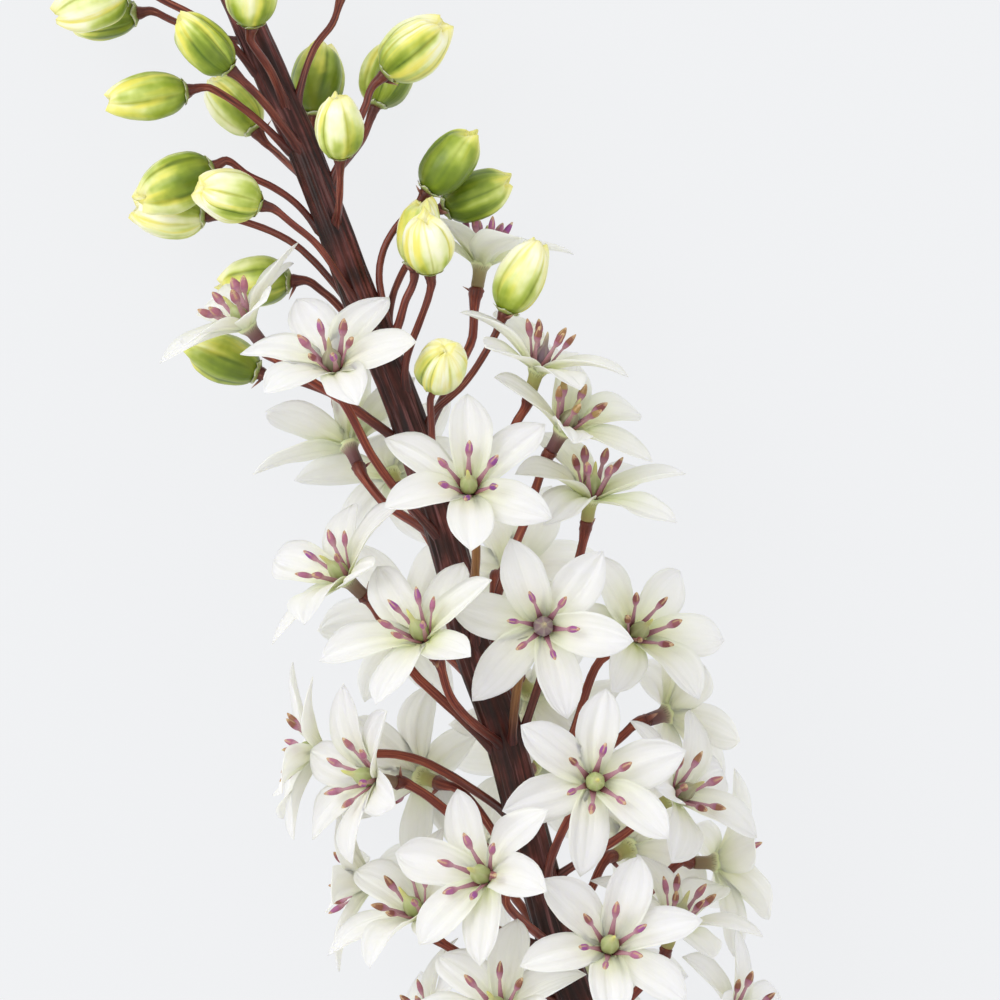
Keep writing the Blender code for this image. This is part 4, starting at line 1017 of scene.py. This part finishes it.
def stamen_mesh(heart, facing, tip, bigger, gathered, draw):
    """One stamen from the floor of the cup to its CAD tip, a little bowed, with the anther turned its own way.
    Where a flower's stamens are gathered, the tip moves in toward the ovary by this share."""
    reach = tip - heart
    upright = facing * reach.dot(facing)
    tip = heart + (upright + (reach - upright) * (1 - gathered)).normalized() * reach.length
    out = (reach - facing * reach.dot(facing)).normalized()
    foot = heart + out * STAMEN_OUT + facing * STAMEN_UP
    bow = (foot + tip) / 2 + (facing * draw.uniform(0.0, 0.9) - out * draw.uniform(-0.5, 0.6)) * MM
    aside = facing.cross(out)
    lean = aside * draw.uniform(-0.9, 0.9) * MM
    size = draw.uniform(0.88, 1.10) * bigger
    frames = carried_frames([curve_at(foot, bow, tip + lean, t) for t, _, _ in STAMEN_STATIONS], aside)
    turn = draw.uniform(-0.5, 0.5)

    def put(spot):
        k = round((spot.z + 0.5) * STAMEN_RINGS)
        t, wide, thick = STAMEN_STATIONS[k]
        centre, across, over = frames[k]
        angle = turn * max(0.0, t - 0.5) * 2
        x, y = across * math.cos(angle) + over * math.sin(angle), over * math.cos(angle) - across * math.sin(angle)
        found = centre + (x * spot.x * wide + y * spot.y * thick) / 2 * size * MM
        return over_table(found, LEAST_GAP + LEAST_GAP / 2 * spot.y)

    return bent(stamen_tube, put)


# How stout the stamens of a flower are, where they aren't like most
stamen_size = {1: 1.35, 2: 1.12, 3: 1.12, 4: 1.1, 8: 1.15, 9: 1.1, 12: 0.88, 19: 1.1}
# And how far they are gathered round the ovary
stamen_gather = {1: 0.30, 2: 0.30, 3: 0.42, 4: 0.45, 7: 0.12, 8: 0.35, 9: 0.42, 10: 0.15, 11: 0.25, 13: 0.20, 22: 0.2,
                 25: 0.35}
# What most anthers of a flower are, from purple at 0 over rose and burgundy to ochre at 1
anther_age = {1: 0.55, 2: 0.40, 3: 0.62, 4: 0.35, 5: 0.60, 7: 0.20, 8: 0.78, 9: 0.60, 10: 0.30, 11: 0.32, 12: 0.22,
              13: 0.70, 14: 0.28, 15: 0.55, 17: 0.40, 19: 0.64, 21: 0.35, 22: 0.5, 24: 0.35}
for number, draw, heart, facing in each_of(FLOWERS, "stamens"):
    meshes = []
    for tip in tips_of_flower[number]:
        tint = min(1.0, max(0.0, anther_age.get(number, 0.5) + draw.uniform(-0.22, 0.26)))
        stamen = stamen_mesh(heart, facing, tip, stamen_size.get(number, 1.0), stamen_gather.get(number, 0.0), draw)
        meshes.append(tinted(stamen, tint))
    piece_of(f"stamens_{number:02d}", meshes, [stamen_finish], "petals", f"flower_{number:02d}")
put_away(stamen_tube)


# The ovaries
# The seed box in the middle of each flower is a smooth green egg with six ribs. It narrows to a yellow-green style
# with a pointed end, and a brown ring shows where it grows from the cup.

OVARY_SIDES = 24
OVARY_RINGS = 16
# Up the ovary and style: height and radius in millimetres, and how deep the ribs are
OVARY_STATIONS = (
    (-0.1, 1.10, 0.0), (0.2, 1.42, 0.01), (0.7, 1.72, 0.03), (1.3, 1.93, 0.04), (2.0, 2.02, 0.05), (2.7, 1.98, 0.05),
    (3.3, 1.78, 0.05), (3.8, 1.52, 0.05), (4.2, 1.20, 0.04), (4.6, 0.86, 0.03), (4.95, 0.66, 0.02), (5.4, 0.57, 0.02),
    (6.0, 0.51, 0.02), (6.6, 0.43, 0.02), (7.1, 0.33, 0.02), (7.5, 0.22, 0.02), (7.8, 0.05, 0.0),
)

ovary_finish, tree, shader = new_material("green seed box", {
    "Roughness": 0.36, "Subsurface Weight": 0.12, "Subsurface Scale": 0.8 * MM,
    "Subsurface Radius": (0.6, 1.0, 0.3),
})
uv = add_node(tree, "UVMap", {})
parts = add_node(tree, "SeparateXYZ", {}, {"Vector": uv})
tint = add_node(tree, "Attribute", {"attribute_name": "tint"})
place = add_node(tree, "TexCoord", {})
mottle = add_node(tree, "TexNoise", {"Scale": 1 / (1.2 * MM), "Detail": 3.0}, {"Vector": place.outputs["Object"]})
fresh = add_node(
    tree, "ValToRGB",
    {"stops": [(0.0, "#6E4038"), (0.08, "#8E7458"), (0.16, "#A9B470"), (0.45, "#B4C47C"), (0.60, "#CBD492"),
               (0.70, "#DDE19A"), (0.90, "#E4E480"), (1.0, "#E8E070")]},
    {"Fac": parts.outputs["Y"]},
)
old = add_node(
    tree, "ValToRGB",
    {"stops": [(0.0, "#5A2E2C"), (0.12, "#5E3C48"), (0.30, "#7C6472"), (0.50, "#8E767C"), (0.64, "#9A8884"),
               (0.80, "#AC9C86"), (1.0, "#CDBB92")]},
    {"Fac": parts.outputs["Y"]},
)
body = add_node(tree, "Mix", {"data_type": "RGBA"}, {0: tint.outputs["Fac"], 6: fresh, 7: old})
rib_wave = add_node(tree, "Math", {"operation": "MULTIPLY", 1: math.tau * 6}, {0: parts.outputs["X"]})
rib_side = add_node(tree, "Math", {"operation": "COSINE"}, {0: rib_wave})
pale = add_node(tree, "ValToRGB", {"stops": [(0.25, 0.0), (1.0, 0.22)]}, {"Fac": rib_side})
ribbed = add_node(tree, "Mix", {"data_type": "RGBA", 7: linear("#CCCBA6")}, {0: pale, 6: body})
mottled = add_node(tree, "Mix", {"data_type": "RGBA", "blend_type": "MULTIPLY", 0: 0.25}, {6: ribbed, 7: mottle})
dress(tree, shader, mottled, mottle, 0.25, 0.12 * MM)

ovary_tube = open_tube("ovary_tube", OVARY_SIDES, OVARY_RINGS)
close_ends(ovary_tube)
# Which ovaries have turned mauve-grey with age, and how far
dark_ovaries = {2: 0.6, 3: 1.0, 4: 0.35, 8: 0.5, 12: 0.95, 13: 0.35, 14: 0.15, 19: 0.5, 25: 0.4}
for number, draw, heart, facing in each_of(FLOWERS, "ovary"):
    across, over = beside(facing)
    size, lean = draw.uniform(0.90, 1.04), (across * draw.uniform(-0.7, 0.7) + over * draw.uniform(-0.7, 0.7)) * MM

    def put(spot):
        t = spot.z + 0.5
        height, radius, rib = OVARY_STATIONS[round(t * OVARY_RINGS)]
        angle = math.atan2(spot.x, spot.y)
        out = radius * (1 - rib * 0.6 + rib * 0.6 * math.cos(6 * angle))
        return heart + facing * height * MM + (across * spot.x + over * spot.y) * out * size * MM + lean * t**3

    tint = min(1.0, dark_ovaries.get(number, 0.1) + draw.uniform(0, 0.12))
    piece_of(f"ovary_{number:02d}", [tinted(bent(ovary_tube, put), tint)], [ovary_finish], "petals",
             f"flower_{number:02d}")
put_away(ovary_tube)


# The buds
# Unopened flowers: three outer petals wrapped over three inner ones, drawn into a blunt beak. Their midribs are
# still green and their edges already cream and yellow, and a small green collar joins them to the stalk.

BUD_SIDES = 48
BUD_RINGS = 24
BUD_LENGTH = 0.0158
BUD_RADIUS = 0.0050
# Up a bud: the share of its radius, and how deep its grooves are
BUD_STATIONS = (
    (0.0, 0.24, 0.2), (0.03, 0.44, 0.4), (0.07, 0.62, 0.6), (0.14, 0.82, 0.8), (0.22, 0.95, 0.9),
    (0.32, 1.03, 1.0), (0.42, 1.06, 1.0), (0.52, 1.04, 1.0), (0.62, 0.97, 1.1), (0.72, 0.86, 1.3),
    (0.80, 0.73, 1.8), (0.87, 0.58, 2.6), (0.925, 0.43, 3.6), (0.96, 0.31, 4.5), (1.0, 0.10, 1.0),
)
# Where the tips begin to draw together, and the ring at which they end. Past it the skin turns down into the mouth
BUD_SHOULDER = 0.72
BUD_MOUTH = 0.96
# How wide a groove between two petals is, of the 60 degrees that a petal takes
GROOVE_DEGREES = 13

# Bud skin: smooth, waxy and taut. Fine veins run to the tip 0.8 mm apart
bud_finish, tree, shader = new_material("green bud skin", {
    "Roughness": 0.38, "Subsurface Weight": 0.22, "Coat Weight": 0.10, "Coat Roughness": 0.22,
    "Specular IOR Level": 0.38, "Subsurface Scale": 1.2 * MM, "Subsurface Radius": (1.0, 1.0, 0.4),
})
uv = add_node(tree, "UVMap", {})
parts = add_node(tree, "SeparateXYZ", {}, {"Vector": uv})
tint = add_node(tree, "Attribute", {"attribute_name": "tint"})
place = add_node(tree, "TexCoord", {})
# Pale cloudy patches: partly the bud's own cream, partly painted highlights
clouds = add_node(tree, "TexNoise", {"Scale": 1 / (4.5 * MM), "Detail": 2.0}, {"Vector": place.outputs["Object"]})
# Streaks that run the length of the bud and meet behind it: noise read round a circle
turn = add_node(tree, "Math", {"operation": "MULTIPLY", 1: math.tau}, {0: parts.outputs["X"]})
east = add_node(tree, "Math", {"operation": "COSINE"}, {0: turn})
north = add_node(tree, "Math", {"operation": "SINE"}, {0: turn})
flat = add_node(tree, "Math", {"operation": "MULTIPLY", 1: 0.5}, {0: parts.outputs["Y"]})
circle = add_node(tree, "CombineXYZ", {}, {"X": east, "Y": north, "Z": flat})
shifted = add_node(tree, "Math", {"operation": "MULTIPLY", 1: TINT_SPREAD}, {0: tint.outputs["Fac"]})
streaks = add_node(tree, "TexNoise", {"noise_dimensions": "4D", "Scale": 1.15, "Detail": 2.5, "Roughness": 0.5},
                   {"Vector": circle, "W": shifted})
bands = add_node(tree, "TexNoise", {"noise_dimensions": "4D", "Scale": 2.0, "Detail": 3.0, "Roughness": 0.5},
                 {"Vector": circle, "W": shifted})
# The green: fullest at the foot, and more of it on a younger bud. The cream toward the tip and in pale
# cloudy patches is partly the bud's own colour and partly painted highlight
paler_up_and_lit = add_node(tree, "Math", {"operation": "MULTIPLY_ADD", 1: -0.85},
                   {0: parts.outputs["Y"], 2: tint.outputs["Fac"]})
streaky = add_node(tree, "Math", {"operation": "MULTIPLY_ADD", 1: 2.0}, {0: streaks, 2: paler_up_and_lit})
cloudy_and_highlit = add_node(tree, "Math", {"operation": "MULTIPLY_ADD", 1: 0.7}, {0: clouds, 2: streaky})
green_share = add_node(tree, "MapRange", {"From Min": 0.80, "From Max": 2.15}, {"Value": cloudy_and_highlit})
bud_colour = add_node(
    tree, "ValToRGB",
    {"stops": [(0.0, "#FCFAE6"), (0.22, "#F6F6D2"), (0.38, "#E6EBAC"), (0.52, "#C6D270"), (0.66, "#A0B240"),
               (0.82, "#7C9224"), (1.0, "#607616")]},
    {"Fac": green_share},
)
ridges = add_node(tree, "Math", {"operation": "MULTIPLY", 1: 12.0}, {0: parts.outputs["X"]})
from_ridge = add_node(tree, "Math", {"operation": "PINGPONG", 1: 1.0}, {0: ridges})
stray = add_node(tree, "Math", {"operation": "MULTIPLY_ADD", 1: 0.5, 2: -0.25}, {0: bands})
strayed = add_node(tree, "Math", {"operation": "ADD"}, {0: from_ridge, 1: stray})
groove_at = add_node(tree, "ValToRGB", {"stops": [(0.78, 0.0), (1.0, 0.95)]}, {"Fac": strayed})
groove_ends = add_node(tree, "ValToRGB", {"stops": [(0.03, 0.0), (0.20, 1.0), (0.75, 1.0), (0.96, 0.3)]},
                       {"Fac": parts.outputs["Y"]})
groove_some = add_node(tree, "ValToRGB", {"stops": [(0.34, 0.35), (0.52, 1.0)]}, {"Fac": streaks})
groove_along = add_node(tree, "Math", {"operation": "MULTIPLY"}, {0: groove_at, 1: groove_ends})
groove_here = add_node(tree, "Math", {"operation": "MULTIPLY"}, {0: groove_along, 1: groove_some})
groove_colour = add_node(tree, "ValToRGB", {"stops": [(0.15, "#DCD648"), (0.42, "#A6AC2C"), (0.75, "#4C6810")]},
                         {"Fac": green_share})
grooved = add_node(tree, "Mix", {"data_type": "RGBA"}, {0: groove_here, 6: bud_colour, 7: groove_colour})
yellow_at = add_node(tree, "ValToRGB", {"stops": [(0.50, 0.0), (0.63, 0.8)]}, {"Fac": bands})
yellow_keeps = add_node(tree, "ValToRGB", {"stops": [(0.45, 0.95), (0.75, 0.12)]}, {"Fac": green_share})
yellow_here = add_node(tree, "Math", {"operation": "MULTIPLY"}, {0: yellow_at, 1: yellow_keeps})
yellowed = add_node(tree, "Mix", {"data_type": "RGBA", 7: linear("#ECE050")}, {0: yellow_here, 6: grooved})
tip_share = add_node(tree, "ValToRGB", {"stops": [(0.78, 0.0), (0.94, 0.55), (0.965, 0.9), (1.0, 0.5)]},
                     {"Fac": parts.outputs["Y"]})
tipped = add_node(tree, "Mix", {"data_type": "RGBA", 7: linear("#ECE47E")}, {0: tip_share, 6: yellowed})
veins_at = add_node(tree, "Mapping", {"Scale": (1.0, 0.04, 1.0)}, {"Vector": uv})
veins = add_node(tree, "TexWave", {"Scale": 12.0, "Distortion": 1.5}, {"Vector": veins_at})
dress(tree, shader, tipped, veins.outputs["Fac"], 0.16, 0.12 * MM)

bud_tube = open_tube("bud_tube", BUD_SIDES, BUD_RINGS)
close_ends(bud_tube)


def bud_mesh(base, facing, length, radius, draw, tint):
    """One bud from its foot to its beak. The three outer petals stand a little prouder than the inner three."""
    across = Matrix.Rotation(draw.uniform(0, math.tau), 3, facing) @ beside(facing)[0]
    over = facing.cross(across)
    lean = (across * draw.uniform(-0.5, 0.5) + over * draw.uniform(-0.5, 0.5)) * length * 0.16
    plump = draw.uniform(0.97, 1.05)
    wring = draw.uniform(-0.40, 0.40)
    gather, gather_phase = draw.uniform(0.20, 0.42), draw.uniform(0, math.tau)
    bunch, bunch_phase = draw.uniform(0.05, 0.16), draw.uniform(0, math.tau)
    grooves = [draw.choice((0.005, 0.03, 0.06)) + draw.uniform(0, 0.025) for _ in range(6)]
    beaks = [draw.uniform(-0.05, 0.45) if k % 2 == 0 else draw.uniform(-0.40, 0.0) for k in range(6)]
    tips = [draw.uniform(-0.04, 0.03) if k % 2 == 0 else draw.uniform(0.03, 0.10) for k in range(6)]
    slope, slope_phase = draw.uniform(0.02, 0.06), draw.uniform(0, math.tau)
    seed = draw.uniform(0, 90)

    def put(spot):
        t = spot.z + 0.5
        share = share_at([(place, wide) for place, wide, _ in BUD_STATIONS], t)
        depth = share_at([(place, deep) for place, _, deep in BUD_STATIONS], t)
        angle = math.atan2(spot.x, spot.y)
        turns = angle / math.tau * 6
        number, groove = round(turns) % 6, math.floor(turns) % 6
        off_groove = abs(turns - math.floor(turns) - 0.5) * 60
        notch = grooves[groove] * math.exp(-((off_groove / GROOVE_DEGREES) ** 2)) * depth
        inner = 0.035 * (0.5 - 0.5 * math.cos(3 * angle))
        middle = 0.5 + 0.5 * math.cos(6 * angle)
        near_tip = max(0.0, min(t, BUD_MOUTH) - BUD_SHOULDER) / (BUD_MOUTH - BUD_SHOULDER)
        lump = 1 + 0.07 * noise.noise(Vector((spot.x * 1.4, spot.y * 1.4, t * 3 + seed)))
        out = radius * plump * share * (1 - notch) * (1 - inner) * (1 + beaks[number] * middle * near_tip**1.5) * lump
        round_angle = angle + wring * t + gather * math.sin(angle + gather_phase)
        round_angle += bunch * math.sin(2 * angle + bunch_phase)
        way = over * math.cos(round_angle) + across * math.sin(round_angle)
        up_bud = min(t, BUD_MOUTH) / BUD_MOUTH - max(0.0, t - BUD_MOUTH) * 1.2
        lips = (tips[number] * middle + 0.035 * (1 - middle)) * near_tip**2 * length
        lips += slope * (1 + math.cos(angle + slope_phase)) * near_tip * length
        found = base + facing * (length * up_bud - lips) + way * out + lean * t**2
        return over_table(found)

    return tinted(bent(bud_tube, put), tint)


# Collar skin: where a bud grows from its stalk, its petals' feet end in a ragged ring of pale tabs, dry at their tips
COLLAR_SIDES = 24
COLLAR_RINGS = 5
# From under the bud out over the tabs and back in: height and radius in millimetres
COLLAR_STATIONS = ((-0.25, 1.25), (0.10, 1.75), (0.40, 2.25), (0.62, 2.70), (0.42, 2.30), (0.15, 1.10))

collar_finish, tree, shader = new_material("pale collar skin", {
    "Roughness": 0.6, "Subsurface Weight": 0.2, "Subsurface Scale": 0.5 * MM,
})
uv = add_node(tree, "UVMap", {})
parts = add_node(tree, "SeparateXYZ", {}, {"Vector": uv})
place = add_node(tree, "TexCoord", {})
specks = add_node(tree, "TexNoise", {"Scale": 1 / (0.8 * MM), "Detail": 3.0}, {"Vector": place.outputs["Object"]})
uneven = add_node(tree, "Math", {"operation": "MULTIPLY_ADD", 1: 0.3}, {0: specks, 2: parts.outputs["Y"]})
collar_colour = add_node(tree, "ValToRGB",
                         {"stops": [(0.15, "#6E4A36"), (0.35, "#93A050"), (0.60, "#C3CE88"), (0.80, "#E2E2BC")]},
                         {"Fac": uneven})
dress(tree, shader, collar_colour, specks, 0.4, 0.1 * MM)

collar_tube = open_tube("collar_tube", COLLAR_SIDES, COLLAR_RINGS)
close_ends(collar_tube)


def collar_mesh(base, facing, size, draw):
    """One collar, whose tabs are ragged from its second ring to its fourth."""
    across, over = beside(facing)
    seed = draw.uniform(0, 90)

    def put(spot):
        ring = round((spot.z + 0.5) * COLLAR_RINGS)
        height, radius = COLLAR_STATIONS[ring]
        tab = noise.noise(Vector((spot.x * 2.6 + seed, spot.y * 2.6, 0)))
        if 2 <= ring <= 4:
            height += 0.6 * tab
            radius *= 1 + 0.12 * tab
        return base + (facing * height + (across * spot.x + over * spot.y) * radius) * size * MM

    return bent(collar_tube, put)


# How green a bud is, from cream at 0, and how long and how wide, where it isn't like most
bud_green = {1: 0.40, 2: 0.60, 3: 0.85, 4: 0.58, 5: 0.46, 6: 0.85, 7: 0.44, 8: 0.42, 9: 0.6, 10: 0.45, 11: 0.60,
             12: 0.25, 13: 0.36, 14: 1.10, 15: 0.95, 16: 0.26, 17: 0.35, 18: 0.40, 19: 0.42, 20: 0.55, 21: 0.78,
             22: 0.7}
bud_build = {2: (0.95, 0.86), 3: (1.0, 0.94), 4: (1.06, 0.98), 7: (0.90, 0.90), 8: (1.06, 1.10), 9: (0.96, 1.04),
             11: (1.08, 1.08), 12: (1.03, 1.04), 13: (0.88, 1.04), 14: (1.0, 0.92), 15: (0.96, 0.98),
             16: (0.86, 0.95), 17: (0.92, 0.86), 18: (1.04, 0.92), 19: (0.95, 1.02), 20: (1.0, 0.98), 21: (1.02, 0.98)}
for number, draw, heart, facing in each_of(BUDS, "bud"):
    longer, wider = bud_build.get(number, (1.0, 1.03))
    skin = bud_mesh(heart, facing, BUD_LENGTH * longer, BUD_RADIUS * wider, draw, bud_green[number])
    piece_of(f"bud_skin_{number:02d}", [skin], [bud_finish], "buds", f"bud_{number:02d}")
    collar = collar_mesh(heart, facing, draw.uniform(0.95, 1.1), draw)
    piece_of(f"bud_collar_{number:02d}", [collar], [collar_finish], "buds", f"bud_{number:02d}")


# The crown
# The growing end of the stem: small crowded buds on short stalks, and above them a tuft of narrow green leaves
# called bracts, which give the plant its name.

# Pairs give the first and lowest of a row and its last and uppermost
CROWN_LENGTH = 0.048
CROWN_RADIUS = (STEM_RADIUS, 0.0018)
CROWN_BUDS = 15
CROWN_BUD_LEAN = (math.radians(54), math.radians(34))
CROWN_BUD_PLACE = (0.05, 0.85)
CROWN_BUD_REACH = (0.0120, 0.0040)
CROWN_BUD_LENGTH = (0.0130, 0.0070)
CROWN_BUD_GIRTH = 0.31
CROWN_STALK_RADIUS = 0.0009
CROWN_STALK_SIDES = 10
CROWN_STALK_RINGS = 10
CROWN_BRACTS = 13
BRACT_LEAN = (math.radians(66), math.radians(14))
BRACT_PLACE = (0.90, 0.98)
BRACT_SHORTENING = 0.25
BRACT_LENGTH = 0.034
BRACT_WIDTH = 0.0085
# Buds and bracts stand round the stem at this angle, each from the one before
GOLDEN_ANGLE = math.radians(137.5)
# No bract's tip goes lower than this
LEAST_HEIGHT = 0.0012
# Along a bract, the share of its full width
BRACT_OUTLINE = ((0.0, 0.42), (0.12, 0.60), (0.30, 0.86), (0.48, 1.0), (0.64, 0.93), (0.80, 0.68), (0.92, 0.36),
                 (1.0, 0.03))
BRACT_COLUMNS = 8
BRACT_ROWS = 18
AXIS_RINGS = 20


def between(ends, t):
    """The value at t of a pair for the first and the last of a row."""
    return ends[0] + (ends[1] - ends[0]) * t


# Bract: a leaf blade with veins 0.5 mm apart, glossy green, paler along its midrib and purple along its edge
bract_finish, tree, shader = new_material("green bract leaf", {
    "Roughness": 0.4, "Subsurface Weight": 0.12, "Subsurface Scale": 0.8 * MM,
})
uv = add_node(tree, "UVMap", {})
parts = add_node(tree, "SeparateXYZ", {}, {"Vector": uv})
place = add_node(tree, "TexCoord", {})
clouds = add_node(tree, "TexNoise", {"Scale": 1 / (5 * MM), "Detail": 3.0}, {"Vector": place.outputs["Object"]})
leaf = add_node(tree, "ValToRGB", {"stops": [(0.30, "#4E7422"), (0.50, "#6B932E"), (0.70, "#8FB24A")]},
                {"Fac": clouds})
off_middle = add_node(tree, "Math", {"operation": "SUBTRACT", 1: 0.5}, {0: parts.outputs["X"]})
from_middle = add_node(tree, "Math", {"operation": "ABSOLUTE"}, {0: off_middle})
midrib = add_node(tree, "ValToRGB", {"stops": [(0.0, 0.7), (0.06, 0.0)]}, {"Fac": from_middle})
ribbed = add_node(tree, "Mix", {"data_type": "RGBA", 7: linear("#C3D58A")}, {0: midrib, 6: leaf})
rim = add_node(tree, "ValToRGB", {"stops": [(0.43, 0.0), (0.49, 0.8)]}, {"Fac": from_middle})
rimmed = add_node(tree, "Mix", {"data_type": "RGBA", 7: linear("#6E3A3E")}, {0: rim, 6: ribbed})
veins_at = add_node(tree, "Mapping", {"Scale": (1.0, 0.03, 1.0)}, {"Vector": uv})
veins = add_node(tree, "TexWave", {"Scale": 5.0, "Distortion": 0.8}, {"Vector": veins_at})
dress(tree, shader, rimmed, veins.outputs["Fac"], 0.35, 0.15 * MM)

bract_sheet = blade("bract_sheet", BRACT_COLUMNS, BRACT_ROWS, BRACT_OUTLINE)

crown_foot, crown_along = line[-1], (line[-1] - line[-2]).normalized()
crown_across, crown_over = beside(crown_along)
axis_tube = ribbed_tube("axis_tube", AXIS_RINGS, -1.0)
end_across = (stem_frames[-1][1] - crown_along * stem_frames[-1][1].dot(crown_along)).normalized()
end_over = crown_along.cross(end_across)


def on_axis(spot):
    """The stem's own section, carried on through the crown and narrowed."""
    t = spot.z + 0.5
    out = between(CROWN_RADIUS, t) * stem_unevenness(spot, 1 + t * CROWN_LENGTH / stem_length)
    low = crown_foot - crown_along * 0.1 * MM
    return low + crown_along * CROWN_LENGTH * t + (end_across * spot.x + end_over * spot.y) * out


axis_mesh = with_straight(bent(axis_tube, on_axis), axis_tube, STEM_RADIUS, stem_length, CROWN_LENGTH)
piece_of("crown_axis", [axis_mesh], [stem_skin_finish], "crown", "crown")
put_away(axis_tube)

stalk_tube = open_tube("crown_stalk_tube", CROWN_STALK_SIDES, CROWN_STALK_RINGS)
close_ends(stalk_tube)
buds, stalks, bracts = [], [], []
for k in range(CROWN_BUDS):
    draw = random.Random(f"crown bud{k}")
    t = k / (CROWN_BUDS - 1)
    out = crown_across * math.cos(GOLDEN_ANGLE * k) + crown_over * math.sin(GOLDEN_ANGLE * k)
    lean = between(CROWN_BUD_LEAN, t)
    way = crown_along * math.cos(lean) + out * math.sin(lean)
    root = crown_foot + crown_along * CROWN_LENGTH * between(CROWN_BUD_PLACE, t)
    base = root + way * between(CROWN_BUD_REACH, t)
    length = between(CROWN_BUD_LENGTH, t)
    buds.append(bud_mesh(base, way, length, length * CROWN_BUD_GIRTH, draw, draw.uniform(0.75, 1.0)))
    wide, high = beside(way)

    def put(spot):
        up = spot.z + 0.5
        out_here = CROWN_STALK_RADIUS * (1.5 - 0.6 * up if up < 0.75 else 1.05 + 1.3 * (up - 0.75))
        return root + (base + way * 0.3 * MM - root) * up + (wide * spot.x + high * spot.y) * out_here

    stalks.append(tinted(bent(stalk_tube, put), draw.random() * 0.7))
for k in range(CROWN_BRACTS):
    draw = random.Random(f"bract{k}")
    t = k / (CROWN_BRACTS - 1)
    angle = GOLDEN_ANGLE * (k + 0.4)
    out = crown_across * math.cos(angle) + crown_over * math.sin(angle)
    lean = between(BRACT_LEAN, t)
    length = BRACT_LENGTH * (1.0 - BRACT_SHORTENING * t)
    root = crown_foot + crown_along * CROWN_LENGTH * between(BRACT_PLACE, t) + out * LEAST_HEIGHT / 3
    tip = root + (crown_along * math.cos(lean) + out * math.sin(lean)) * length
    tip.z = max(tip.z, LEAST_HEIGHT)
    bend = root + crown_along * length * 0.40 + out * length * 0.22
    aside = out.cross(crown_along).normalized()
    cup, wave, phase = draw.uniform(0.8, 1.6) * MM, draw.uniform(0.3, 0.8) * MM, draw.uniform(0, math.tau)

    def put(spot):
        up = spot.y + 0.5
        share = share_at(BRACT_OUTLINE, up)
        side = spot.x / (share / 2) if up < 0.999 else 0.0
        inward = aside.cross(curve_way(root, bend, tip, up))
        crinkle = wave * abs(side) ** 2 * math.sin(math.tau * 2.6 * up + phase + side) * share
        thick = (0.15 + 0.35 * (1 - side**2)) * MM
        lift = cup * share * abs(side) ** 1.4 + crinkle + spot.z * thick
        centre = curve_at(root, bend, tip, up)
        return over_table(centre + aside * side * share * BRACT_WIDTH / 2 + inward * lift)

    bracts.append(bent(bract_sheet, put))
piece_of("crown_buds", buds, [bud_finish], "crown", "crown")
piece_of("crown_stalks", stalks, [bud_stalk_finish], "crown", "crown")
piece_of("crown_bracts", bracts, [bract_finish], "crown", "crown")
put_away(bud_tube, collar_tube, stalk_tube, bract_sheet)


# The light table, the lights and the camera
# The stem lies on a pale acrylic light table, lit a little from below so that it throws hardly a shadow. One
# large soft lamp stands at the upper left, and a weaker one fills from the right.

FLOOR_SIZE = 40.0
CAMERA_HEIGHT = 4.0
# The middle of the picture, at a height where it is as wide as this
MIDDLE_PIXEL = (500, 500)
MIDDLE_HEIGHT = 0.042
PICTURE_WIDTH = 0.2
SENSOR = 36.0

table_finish, tree, shader = new_material("opal acrylic", {
    "Roughness": 0.9, "Base Color": linear("#444546"), "Emission Color": linear("#EFF0F2"),
    "Emission Strength": 0.935, "Specular IOR Level": 0.0,
})
bpy.ops.object.select_all(action="DESELECT")
bpy.ops.mesh.primitive_plane_add(size=FLOOR_SIZE, location=(0, 0, 0))
floor = bpy.context.object
floor.name = "light_table"
floor.data.materials.append(table_finish)

world = bpy.data.worlds.new("studio")
bpy.context.scene.world = world
world.use_nodes = True
world.node_tree.nodes["Background"].inputs["Color"].default_value = linear("#F1F1F0")
world.node_tree.nodes["Background"].inputs["Strength"].default_value = 0.98

middle = in_part(MIDDLE_PIXEL, MIDDLE_HEIGHT)
right, up = Vector((*turned(1, 0), 0)), Vector((*turned(0, 1), 0))
for name, place, size, power in (
    ("key", middle - right * 1.6 + up * 1.0 + Vector((0, 0, 1.9)), 1.7, 33.0),
    ("fill", middle + right * 1.9 - up * 0.6 + Vector((0, 0, 1.7)), 2.0, 7.0),
):
    lamp = bpy.data.lights.new(name, "AREA")
    lamp.shape = "SQUARE"
    lamp.size = size
    lamp.energy = power
    stand = bpy.data.objects.new(name, lamp)
    bpy.context.scene.collection.objects.link(stand)
    stand.location = place
    stand.rotation_euler = (middle - place).to_track_quat("-Z", "Y").to_euler()

lens = bpy.data.cameras.new("camera")
lens.sensor_width = SENSOR
lens.lens = SENSOR * (CAMERA_HEIGHT - MIDDLE_HEIGHT) / PICTURE_WIDTH
lens.clip_start = 0.1
lens.clip_end = 100.0
camera = bpy.data.objects.new("camera", lens)
bpy.context.scene.collection.objects.link(camera)
camera.location = Vector((middle.x, middle.y, CAMERA_HEIGHT))
camera.rotation_euler = (0, 0, -SLANT)
bpy.context.scene.camera = camera
bpy.context.scene.view_settings.view_transform = "Standard"
